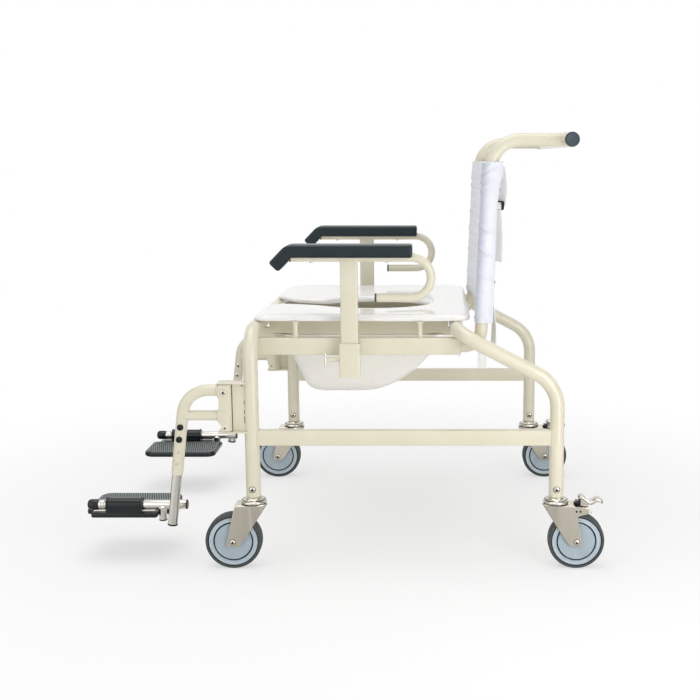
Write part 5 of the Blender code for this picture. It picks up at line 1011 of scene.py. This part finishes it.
# Painted shade: flat black rings down in the grooves between disc and rim and between rim and tyre.
half_groove_shade = ([(0.0410, 0.0124), (0.0448, 0.0124)], [(0.0537, 0.0139), (0.0563, 0.0139)])
AXLE_REACH, AXLE_HEAD = FORK_HALF + 0.0002, (0.0065, 0.0035)
stem, axle = (0, 0, LEG_FOOT), (0, -TRAIL, AXLE_Z)
axle_ends = [((way * AXLE_REACH, -TRAIL, AXLE_Z), way * X) for way in (1, -1)]
axle_screws = [turned(button_head(*AXLE_HEAD), *end, 32) for end in axle_ends]
axle_screws.append(turned([(0.004, -AXLE_REACH), (0.004, AXLE_REACH)], axle, X, 24))
# Painted shade: dark floors in the axle screws' sockets, and dark rings where their heads meet the fork.
axle_sockets = [socket_floor(0.0072, AXLE_HEAD[1], *end) for end in axle_ends]
axle_sockets += [painted_shade_ring(AXLE_HEAD[0], 0.0006, 0.0008, *end) for end in axle_ends]
caster_pieces = (
    ("caster_race", [turned(race, stem, Z, 56)], nickel, "frame", "nickel_plate", "caster_stem", 38),
    ("caster_race_painted_bands", [ring_of(line, stem, Z) for line in (crown_gap_shade, cone_dark_reflection)], black, "frame", "black_plastic", None, 38),
    ("caster_axle_screws", axle_screws, nickel, "fork", "stainless_steel", "caster_axle", 38),
    ("caster_axle_sockets", axle_sockets, dark_steel_and_shade, "fork", "stainless_steel", None, 38),
    ("wheel_disc", [ring_of(both_faces(half_disc), axle, X)], wheel_nylon, "wheel", "wheel_plastic", "wheel_hub", 30),
    ("wheel_rim", [ring_of(both_faces(half_rim), axle, X)], rim_painted_highlight, "wheel", "wheel_plastic", None, 30),
    ("wheel_groove_shade", [ring_of(both_faces(half), axle, X) for half in half_groove_shade], black, "wheel", "black_plastic",
     None, 30),
    ("wheel_tyre", [ring_of(both_faces(half_tyre), axle, X)], tyre_rubber, "wheel", "grey_rubber", "tyre", 30))
for place, swivel_y, way in (("front", FRONT_Y, 1), ("rear", REAR_Y, -1)):
    half_fork = fork_half(braked=place == "rear")
    fork_shells = [shell(half_fork * (mirror, 1, 1), loop_columns=False) for mirror in (1, -1)]
    for side, word in SIDES:
        swivel, ending = (side * LEG_X, swivel_y), f"_{place}_{word}"
        fork = add_piece("caster_fork_sheet" + ending, stood(fork_shells, swivel, way), pressed, "fork" + ending,
                         ["caster_fork" + ending], 50)
        wall = fork.modifiers.new("Sheet", 'SOLIDIFY')
        wall.thickness = FORK_SHEET
        wall.offset = -1
        wall.use_even_offset = True
        for name, shells, material, body, slot, node, sharp in caster_pieces:
            add_piece(name + ending, stood(shells, swivel, way), material, body if body == "frame" else body + ending,
                      [node + ending] if node else (), sharp)


# Wheel locks: on the rear casters a plated rocker with two lobes turns on the fork's ears.
# Pressed down, its tongue bears on the tyre; a black block behind the pivot holds the spring.
PEDAL_IN, PEDAL_OUT, PEDAL_STATIONS = 0.0495, 0.1040, 40
ARM_APART, ARM_SHEET = 0.0115, 0.0022
LOBE_REACH, LOBE_PITCH = 0.057, 0.037


def pedal_height(reach):
    """Tread's height at a distance from the swivel: a wave of two lobes on a slope that falls outwards."""
    past = reach - LOBE_REACH
    return 0.1615 - 0.16 * past + 0.0045 * np.cos(2 * math.pi * past / LOBE_PITCH)


reach = np.linspace(PEDAL_IN, PEDAL_OUT, PEDAL_STATIONS)
near_end = np.clip(np.minimum(reach - PEDAL_IN, PEDAL_OUT - reach) / 0.008, 0, 1)
pedal_wide = 0.0055 + 0.0075 * np.sqrt(1 - (1 - near_end) ** 2)
half_section = [(0.4, 0.0006), (0.82, -0.0004), (0.95, -0.0016), (1.0, -0.0034), (1.0, -0.0070)]
pedal_section = np.array([(-x, z) for x, z in reversed(half_section)] + [(0.0, 0.0009)] + half_section)
pedal_path = np.column_stack([np.zeros(PEDAL_STATIONS), -reach, pedal_height(reach)])
treadle_sheet = shell(swept(pedal_path, pedal_section, pedal_wide[:, None] * X, Z[None]), loop_columns=False)
arm_line = rounded_outline([(-0.0535, 0.1630), (-0.0535, 0.1330), (-0.0665, 0.1300), (-0.0750, 0.1560)],
                           [0.003, 0.004, 0.005, 0.004])
arms = [slab(arm_line, x - ARM_SHEET / 2, x + ARM_SHEET / 2, 0.0006, SIDEWAYS) for x in (-ARM_APART, ARM_APART)]
tongue = shell(carried([(0, -0.0660, 0.1425), (0, -0.0720, 0.1370), (0, -0.0770, 0.1305), (0, -0.0805, 0.1245)],
                       rounded_rectangle(0.0065, 0.0014, 0.0009, 3), X))
bridge = slab(rounded_rectangle(ARM_APART, 0.0042, 0.001, 3) + (0.0, -0.0660), 0.1395, 0.1425, 0.0008)
pivot = turned([(0.0030, -0.0206), (0.0034, -0.0200), (0.0034, 0.0200), (0.0030, 0.0206)], (0, -PIVOT_REACH, PIVOT_Z),
               X, 24)
block_path = resampled(np.array([(0, -0.0425, 0.1475), (0, -0.0560, 0.1475)]), end_stops(0.0135, 0.002, 4))
block = cushioned(block_path, 0.0095, 0.0055, 0.002, 0.002)
slots = [turned([(0.0002, 0.0), (0.0024, 0.0), (0.0024, 0.0006), (0.0018, 0.0007), (0.0002, 0.0004)],
                (way * (FORK_HALF - 0.0003), y, 0.1335), way * X, 20) for way in (1, -1) for y in (-0.0440, -0.0525)]
rear_swivel = (LEG_X, REAR_Y)
add_pair("wheel_lock_arms", stood(arms + [tongue, bridge, pivot], rear_swivel, -1), nickel, "pedal")
for treadle in add_pair("wheel_lock_treadle", stood([treadle_sheet], rear_swivel, -1), nickel, "pedal",
                        "brake_pedal_rear", 60):
    wall = treadle.modifiers.new("Sheet", 'SOLIDIFY')
    wall.thickness = 0.0018
    wall.offset = -1
add_pair("wheel_lock_block", stood([block] + slots, rear_swivel, -1), black, "fork_rear")


# Seat: one glossy white moulding with a keyhole opening that runs out at the front between two lobes.
# It rests on the crossbars and on the rails' buffers; the lobes thin to a soft nose and the top falls to the opening.
SEAT_HALF, SEAT_FRONT, SEAT_REAR, SEAT_THICK = 0.2917, -0.200, 0.286, 0.014
SLOT_HALF, FLARE_R = 0.055, 0.070
OPENING_X, OPENING_Y, OPENING_MID = 0.105, 0.143, 0.052
SEAT_DISH = 0.0155
SEAT_STATIONS = 110


def smoothed(path, passes):
    """A path whose inner points move to the mean of their neighbours, some number of times."""
    for _ in range(passes):
        path = np.vstack([path[:1], (path[:-2] + 2 * path[1:-1] + path[2:]) / 4, path[-1:]])
    return path


def seat_half():
    """Half of the seat as sections from its inner to its outer edge, from the lobe's nose to the rear middle.

    Each section is a slab with quarter-ellipse edges. Its height shrinks to the nose by a quarter circle, and both
    of its faces fall to the opening by a bell curve that fades out over the crossbars.
    """
    bend = np.linspace(math.pi / 2, 0, 24)
    flare = np.column_stack([SLOT_HALF + FLARE_R * (1 - np.cos(bend)), SEAT_FRONT + FLARE_R * (1 - np.sin(bend))])
    start = math.asin(SLOT_HALF / OPENING_X)
    turn = np.linspace(start, math.pi, 70)
    oval = np.column_stack([OPENING_X * np.sin(turn), OPENING_MID - OPENING_Y * np.cos(turn)])
    inner = np.column_stack([np.vstack([flare, oval]), np.zeros(len(flare) + len(oval))])
    outer = bend_path([(SEAT_HALF - 0.034, SEAT_FRONT, 0), (SEAT_HALF, SEAT_FRONT, 0), (SEAT_HALF, SEAT_REAR, 0),
                       (0, SEAT_REAR, 0)], [0.034, 0.030], math.radians(4))
    share = np.linspace(0, 1, SEAT_STATIONS) ** 1.2
    inner = smoothed(resampled(inner, share * walk_along(inner)[-1]), 12)
    outer = resampled(outer, share * walk_along(outer)[-1])
    across = outer[:, :2] - inner[:, :2]
    wide = np.linalg.norm(across, axis=1)[:, None]
    high_edge = np.minimum(0.012, 0.45 * wide)
    low_edge = np.minimum(0.004, 0.45 * wide)
    arc = np.linspace(0, math.pi / 2, 6)
    flat = np.linspace(0, 1, 16)[1:-1]
    rise = np.concatenate([0.4 * (1 - np.cos(arc)), 0.4 + 0.6 * np.sin(arc[1:])])
    edge = np.hstack([low_edge * (1 - np.sin(arc)), high_edge * (1 - np.cos(arc[1:]))])
    step = np.hstack([edge, high_edge + (wide - 2 * high_edge) * flat, wide - edge[:, ::-1],
                      low_edge + (wide - 2 * low_edge) * flat[::-4]])
    level = np.concatenate([rise, np.ones(len(flat)), rise[::-1], np.zeros(len(flat[::-4]))]) * SEAT_THICK
    place = inner[:, None, :2] + across[:, None] * (step / wide)[:, :, None]
    ahead = np.clip(1 - (place[:, :, 1] - SEAT_FRONT) / 0.070, 0, 1)
    away = np.hypot(place[:, :, 0] / 0.210, (place[:, :, 1] - OPENING_MID) / 0.286)
    clear = np.clip(np.minimum(place[:, :, 1] - FRONT_Y, REAR_BAR_Y - place[:, :, 1]) / 0.060, 0, 1)
    fall = SEAT_DISH * np.exp(-2 * away ** 2) * clear ** 2 * (3 - 2 * clear)
    top = SEAT_THICK * (1 - 0.45 * ahead ** 2)
    nose = np.sqrt(1 - (1 - np.clip((place[:, :, 1] - SEAT_FRONT) / 0.010, 0, 1)) ** 2)
    height = level[None] / SEAT_THICK * top
    height = 0.4 * top + (height - 0.4 * top) * nose - fall
    return np.concatenate([place, SEAT_FOOT + height[:, :, None]], axis=2)


# White seat moulding: integral-skin polyurethane, smooth gloss with a faint long ripple of 60 mm from the tool.
gloss = new_material("Glossy white polyurethane", "#ECECEA", 0.14, IOR=1.5)
ripple = noise(gloss, 0.06, 2)
tint(gloss, ripple, "#EFEEEB", "#F5F4F2")
relief(gloss, ripple, 0.0002, 0.2)
vary_roughness(gloss, ripple, 0.05, 0.09)
half_seat = seat_half()
add_piece("seat_moulding", [shell(np.concatenate([half_seat, half_seat[-2::-1] * (-1, 1, 1)]))], gloss, "frame",
          ["seat"], 60)


# Commode pan: a translucent moulded tub with a steep front, a long sloping back and rounded edges all round.
# Its turned-out rim hangs in the pan rails, so it slides out to the rear.
PAN_FLOOR, PAN_RIM_LOW, PAN_RIM_TOP = 0.3458, 0.4988, 0.5028
PAN_RIM_HALF, PAN_RIM_FRONT, PAN_RIM_REAR = 0.1753, -0.165, 0.225
PAN_BODY_HALF, PAN_FLOOR_HALF = 0.1533, 0.106
PAN_FLOOR_FRONT, PAN_FLOOR_REAR = -0.0962, 0.072
PAN_WALL, PAN_CORNER = 0.003, 0.045


def pan_ring(height, half_wide, front, rear, corner=PAN_CORNER):
    """One level of the tub: a rectangle with round corners."""
    outline = rounded_rectangle(half_wide, (rear - front) / 2, corner, 10) + np.array([0, (front + rear) / 2])
    return np.column_stack([outline, np.full(len(outline), height)])


def pan_wall(share, wall):
    """The tub at a share of its height: a straight front, a back that steepens to the rim, and a round edge below."""
    ease = 1 - (1 - share) ** 2.1
    grow = 0.020 * (math.sqrt(1 - (1 - min(1.0, share / 0.17)) ** 2) - 1)
    return pan_ring(PAN_FLOOR + wall * (1 - share) + (PAN_RIM_TOP - PAN_FLOOR) * share,
                    PAN_FLOOR_HALF + (PAN_BODY_HALF - PAN_FLOOR_HALF) * ease - wall + grow,
                    PAN_FLOOR_FRONT + (PAN_RIM_FRONT + 0.012 - PAN_FLOOR_FRONT) * share + wall - grow,
                    PAN_FLOOR_REAR + (PAN_RIM_REAR - 0.012 - PAN_FLOOR_REAR) * ease - wall + grow,
                    0.016 + 0.010 * (1 - share))


# Natural polypropylene: milky, lets light through, faint flow lines of 25 mm from moulding.
milky = new_material("Natural polypropylene", "#F5F3ED", 0.34, IOR=1.49, Subsurface_Weight=0.25, Subsurface_Scale=0.004)
swirl = noise(milky, 0.025, 4)
tint(milky, swirl, "#F3F1EA", "#FAF9F4")
vary_roughness(milky, swirl, 0.28, 0.42)
climb = np.concatenate([0.17 * (1 - np.cos(np.linspace(0, math.pi / 2, 10))), np.linspace(0.22, 0.972, 11)])
rim = [pan_ring(height, PAN_RIM_HALF - inset, PAN_RIM_FRONT + inset, PAN_RIM_REAR - inset)
       for height, inset in ((PAN_RIM_LOW, 0.001), (PAN_RIM_LOW + 0.001, 0), (PAN_RIM_TOP - 0.001, 0),
                             (PAN_RIM_TOP, 0.001))]
rim.append(pan_ring(PAN_RIM_TOP, PAN_BODY_HALF - 0.001, PAN_RIM_FRONT + 0.013, PAN_RIM_REAR - 0.013))
tub = [pan_wall(share, 0.0) for share in climb] + rim + [pan_wall(share, PAN_WALL) for share in climb[::-1]]
add_piece("commode_tub", [shell(np.stack(tub))], milky, "pan", ["commode_pan"], 50)


# Back sling: one panel of coated white nylon, cut 0.90 m wide, drawn round both uprights and strapped behind.
# Level rows of stitching quilt its front every 25 mm, and the pull of the straps wrinkles the sides.
SLING_LOW, SLING_HIGH = 0.546, 0.895
SLING_FRONT, SLING_HALF, SLING_WRAP, SLING_FLAP = 0.0158, 0.0185, 0.0159, 0.100
STITCH_PITCH = 0.025
WRINKLE_RISE, WRINKLE_WIDE, WRINKLE_PAST = 1.35, 0.33, 0.020
WRINKLES = ((0.884, 1.1, 0.0020, 0.009), (0.868, 0.9, 0.0026, 0.010), (0.845, 0.7, 0.0028, 0.009),
            (0.752, -0.6, 0.0026, 0.009), (0.738, 0.8, 0.0020, 0.007), (0.703, -0.9, 0.0024, 0.008),
            (0.688, 0.5, 0.0022, 0.007), (0.652, -0.5, 0.0022, 0.009), (0.610, 0.6, 0.0014, 0.008),
            (0.556, 1.0, 0.0022, 0.007))


def sling_grid():
    """The cloth as rows of height and columns along its width.

    Across: a slack front panel, half an ellipse round the upright, and a flap; then small moves square to it.
    """
    front = np.linspace(0, RAIL_X - 0.004, 46)[:-1]
    turn = np.linspace(-math.pi / 2, math.pi / 2, 25)
    flap = np.linspace(RAIL_X, RAIL_X - SLING_FLAP, 18)[1:]
    x = np.concatenate([front, RAIL_X + SLING_WRAP * np.cos(turn), flap])
    slack = 0.014 * (1 - (front / RAIL_X) ** 6)
    wrap = np.where(turn < 0, SLING_FRONT, SLING_HALF) * np.sin(turn)
    y = np.concatenate([slack - SLING_FRONT, wrap, np.full(len(flap), SLING_HALF)])
    x = np.concatenate([-x[:0:-1], x])
    y = np.concatenate([y[:0:-1], y])
    run = np.concatenate([[0], np.cumsum(np.hypot(np.diff(x), np.diff(y)))])
    run -= run[-1] / 2
    along = np.gradient(np.column_stack([x, y]), axis=0)
    along /= np.linalg.norm(along, axis=1)[:, None]
    outward = np.column_stack([along[:, 1], -along[:, 0]])
    z = np.linspace(SLING_LOW, SLING_HIGH, 141)
    past_side = np.abs(run) - RAIL_X - WRINKLE_PAST
    panel = np.clip((RAIL_X - np.abs(run)) / 0.02, 0, 1)
    free = np.clip(1 - np.abs(run) / RAIL_X, 0, 1)
    share = (z - SLING_LOW) / (SLING_HIGH - SLING_LOW)
    move = -np.outer(0.0016 * np.sin(share * 8 * math.pi), free)
    to_row = np.abs((z - SLING_LOW + STITCH_PITCH / 2) % STITCH_PITCH - STITCH_PITCH / 2)
    puff = 0.0011 * (1 - np.exp(-(to_row / 0.004) ** 2))
    move += np.outer(puff - 0.0005, panel)
    move += 0.0003 * np.sin(run[None] / 0.011 + 3 * np.sin(z[:, None] / 0.021)) * panel
    for height, lean, size, reach in WRINKLES:
        offset = z[:, None] - height - lean * past_side
        move += WRINKLE_RISE * size * np.exp(-(offset / (WRINKLE_WIDE * reach)) ** 2 - (past_side / (2.6 * reach)) ** 2)
    behind = np.clip((np.abs(run) - RAIL_X - 0.030) / 0.02, 0, 1) * np.clip((RAIL_X + 0.075 - np.abs(run)) / 0.03, 0, 1)
    pull = 0.011 * np.exp(-((SLING_HIGH - 0.012 - z[:, None]) / 0.042) ** 2) * behind[None]
    loose = 0.0055 * np.outer(1 - share, np.exp(-((np.abs(run) - RAIL_X - 0.050) / 0.018) ** 2))
    forward = 0.002 * np.outer(share, np.clip(-outward[:, 1], 0, 1))
    grid = np.empty((len(z), len(run), 3))
    grid[:, :, 0] = x + outward[:, 0] * move
    grid[:, :, 1] = y + outward[:, 1] * move + pull + loose - forward + back_y(z)[:, None]
    grid[:, :, 2] = z[:, None] + 0.002 * np.sin(np.abs(run)[None] / 0.05) * (share[:, None] - 0.5)
    return grid, run, np.column_stack([outward, np.zeros(len(run))])


# Coated nylon: lilac-white, satin, plain weave of 0.5 mm thread drawn at 1.2 mm so that it shows. Where the cloth
# leaves the upright, a soft blue band of painted shade darkens it.
nylon = new_material("Coated white nylon", "#E8E9F0", 0.52, IOR=1.5, Sheen_Weight=0.15, Sheen_Roughness=0.4)
nylon_tree = nylon.node_tree
plain_cloth = tint(nylon, noise(nylon, 0.035, 4), "#DEE0EA", "#ECEDF2")
thread_place = add_node(nylon_tree, 'ShaderNodeUVMap', uv_map="cloth").outputs[0]
across_cloth = add_node(nylon_tree, 'ShaderNodeSeparateXYZ', {0: thread_place}).outputs[0]
from_middle = calc(nylon_tree, 'ABSOLUTE', across_cloth)
# Painted shade: a blue band on the cloth just where it turns from the front panel round each upright.
crease_painted_shade = calc(nylon_tree, 'MULTIPLY', eased(nylon_tree, from_middle, RAIL_X - 0.006, RAIL_X + 0.004),
                   eased(nylon_tree, from_middle, RAIL_X + 0.010, RAIL_X + 0.030, 0.6, 0.0))
crease_shade_mix = add_node(nylon_tree, 'ShaderNodeMix', {0: crease_painted_shade, 6: plain_cloth, 7: linear("#B4BBCF")},
                      data_type='RGBA')
feed(nylon, crease_shade_mix.outputs[2], "Base Color")
weave_way = add_node(nylon_tree, 'ShaderNodeMapping', {"Vector": thread_place, "Scale": (1 / 0.0012, 1 / 0.0012, 1)})
weave = add_node(nylon_tree, 'ShaderNodeTexChecker', {"Vector": weave_way.outputs[0], "Scale": 1.0})
relief(nylon, weave.outputs[1], 0.00008, 0.5)

# Sewing thread: bright white polyester, twisted, matt.
thread = new_material("White polyester thread", "#F1F1F2", 0.7)
tint(thread, noise(thread, 0.0015, 1), "#F4F4F6", "#FDFDFD")
cloth_points, sling_run, sling_outward = sling_grid()
cloth_uv = np.stack([np.broadcast_to(sling_run, cloth_points.shape[:2]), cloth_points[:, :, 2]], axis=-1)
sling = add_piece("back_sling_cloth", [shell(cloth_points, loop_columns=False)], nylon, "frame",
                  ["back_sling"], 70, closed=False, uv=cloth_uv)
wall = sling.modifiers.new("Cloth", 'SOLIDIFY')
wall.thickness = 0.0012
wall.offset = 0
thread_rows = []
for height in np.arange(SLING_LOW + STITCH_PITCH, SLING_HIGH - 0.004, STITCH_PITCH):
    row = np.argmin(np.abs(cloth_points[:, 0, 2] - height))
    seam = cloth_points[row] + 0.0007 * sling_outward
    thread_rows.append(tube(seam[np.abs(sling_run) < RAIL_X + 0.002], 0.0007, 6))
seams = add_piece("back_sling_stitching", thread_rows, thread, "frame")
hems = [tube(cloth_points[row] + rise * Z, 0.0013, 8) for row, rise in ((0, 0.0004), (-1, -0.0004))]
edging = add_piece("back_sling_hems", hems, nylon, "frame")


# Back straps: 26 mm white webbing across the back of the sling, drawn tight through black ladder buckles.
# The free tails hang down behind the uprights, with a folded end.
STRAP_X, STRAP_END = 0.242, 0.255
STRAP_WIDE, TAIL_WIDE, STRAP_THICK = 0.026, 0.025, 0.0015
STRAP_TOP = 0.886


def webbing(path, turn):
    """A flat band along a path: its width lies level, turned from +X by an angle at each point of the path."""
    along = np.gradient(path, axis=0)
    along /= np.linalg.norm(along, axis=1)[:, None]
    level = np.column_stack([np.cos(turn), np.sin(turn), np.zeros(len(path))])
    level -= along * np.sum(level * along, axis=1)[:, None]
    level /= np.linalg.norm(level, axis=1)[:, None]
    face = np.cross(along, level)
    return shell(swept(path, rounded_rectangle(TAIL_WIDE / 2, STRAP_THICK / 2, 0.0005, 3), level, face))


def strap_y(height):
    """Fore-aft place of a strap's middle, just behind the sling's flaps."""
    return back_y(height) + SLING_HALF + 0.0022


def tail(x, high, length, first_turn, last_turn, bulge):
    """A loose tail: hangs straight with a slow bulge to the rear, twisting from one angle to another."""
    share = np.linspace(0, 1, 40)
    height = high - length * share
    path = np.column_stack([np.full(len(share), x), strap_y(high) + 0.001 + bulge * np.sin(share * 2.4), height])
    ease = share ** 2 * (3 - 2 * share)
    twist = np.radians(first_turn + (last_turn - first_turn) * ease)
    return [webbing(path, twist), webbing(path[-6:] + 0.0016 * Y, twist[-6:])]


def buckle(x, height, turn):
    """A ladder buckle: a flat frame with round edges and two bars across, turned with its strap."""
    corners, hole = rounded_rectangle(0.0165, 0.0100, 0.003), rounded_rectangle(0.0135, 0.0070, 0.002)
    rows = [np.column_stack([line[:, 0], np.full(len(line), y), line[:, 1]])
            for line, y in ((corners, -0.0020), (corners, 0.0020), (hole, 0.0020), (hole, -0.0020))]
    bars = [tube([(-0.0145, 0.0012, z), (0.0145, 0.0012, z)], 0.0018, 14) for z in (-0.0030, 0.0035)]
    angle = math.radians(turn)
    spin = np.array([[math.cos(angle), math.sin(angle), 0], [-math.sin(angle), math.cos(angle), 0], [0, 0, 1]])
    place = np.array([x, strap_y(height) + 0.0045, height])
    return [(points @ spin + place, polygons) for points, polygons in [shell(np.stack(rows), loop_rows=True)] + bars]


# Webbing: ribbed white polyester, ribs across the band 2 mm apart, slightly yellowed in patches of 20 mm.
band_cloth = new_material("White polyester webbing", "#EDECE6", 0.75, Sheen_Weight=0.2)
ribs = add_node(band_cloth.node_tree, 'ShaderNodeTexWave',
                {"Vector": place_on(band_cloth), "Scale": 1 / 0.002 / 6.283, "Distortion": 0.6}, bands_direction='Z')
tint(band_cloth, noise(band_cloth, 0.02, 4), "#F4F3EE", "#FCFCFA")
relief(band_cloth, ribs.outputs[1], 0.00025, 0.6)
strap_section = rounded_rectangle(STRAP_WIDE / 2, STRAP_THICK / 2, 0.0005, 3)
strap_lean = np.array([[0, BACK_LEAN, 1.0]])
for height, name, tails in ((0.800, "upper", ((1, 0.132, 38, 34, 0.006), (-1, 0.128, -36, -30, 0.006))),
                            (0.590, "lower", ((1, 0.114, 10, 24, 0.006), (-1, 0.258, -12, -64, 0.001)))):
    band = np.array([(x, strap_y(height), height) for x in np.linspace(-STRAP_END, STRAP_END, 31)])
    shells = [shell(swept(band, strap_section, strap_lean, Y[None]))]
    clips = []
    for side, length, first_turn, last_turn, bulge in tails:
        shells += tail(side * STRAP_X, height + 0.006, length, first_turn, last_turn, bulge)
        if name == "upper":
            clips += buckle(side * STRAP_X, height, first_turn)
            share = np.linspace(0, 1, 24)
            tab = np.column_stack([side * (STRAP_X + 0.016 * (1 - share)),
                                   strap_y(0.880) + 0.006 + 0.007 * np.sin(share * 2.6) - 0.003 * share,
                                   STRAP_TOP - (STRAP_TOP - height) * share])
            shells.append(webbing(tab, np.radians(side * (30 + 10 * share))))
    add_piece("back_strap_webbing_" + name, shells, band_cloth, "frame", ["back_strap_" + name])
    if clips:
        add_piece("back_strap_buckles_" + name, clips, black, "frame")

# Eyelets and snaps: pressed nickel rings at the sling's front corners, and dark press studs down its rear edges.
eyelets = [turned([(0.0016, 0.0), (0.0016, 0.0009), (0.0026, 0.0014), (0.0038, 0.0008), (0.0040, 0.0)],
                  (side * (RAIL_X - 0.004), back_y(z) - SLING_FRONT - 0.0006, z), -Y, 24)
           for side in (1, -1) for z in (SLING_HIGH - 0.010, SLING_LOW + 0.010)]
add_piece("back_sling_eyelets", eyelets, nickel, "frame")
snaps = [turned([(0.0034, -0.0010), (0.0034, 0.0012), (0.0026, 0.0022), (0.0002, 0.0024)],
                (side * (RAIL_X - 0.004), back_y(z) + SLING_HALF + loose_by, z), Y, 20)
         for side in (1, -1) for z, loose_by in ((0.8367, 0.0028), (0.634, 0.0042))]
add_piece("back_sling_snaps", snaps, dark_steel_and_shade, "frame")
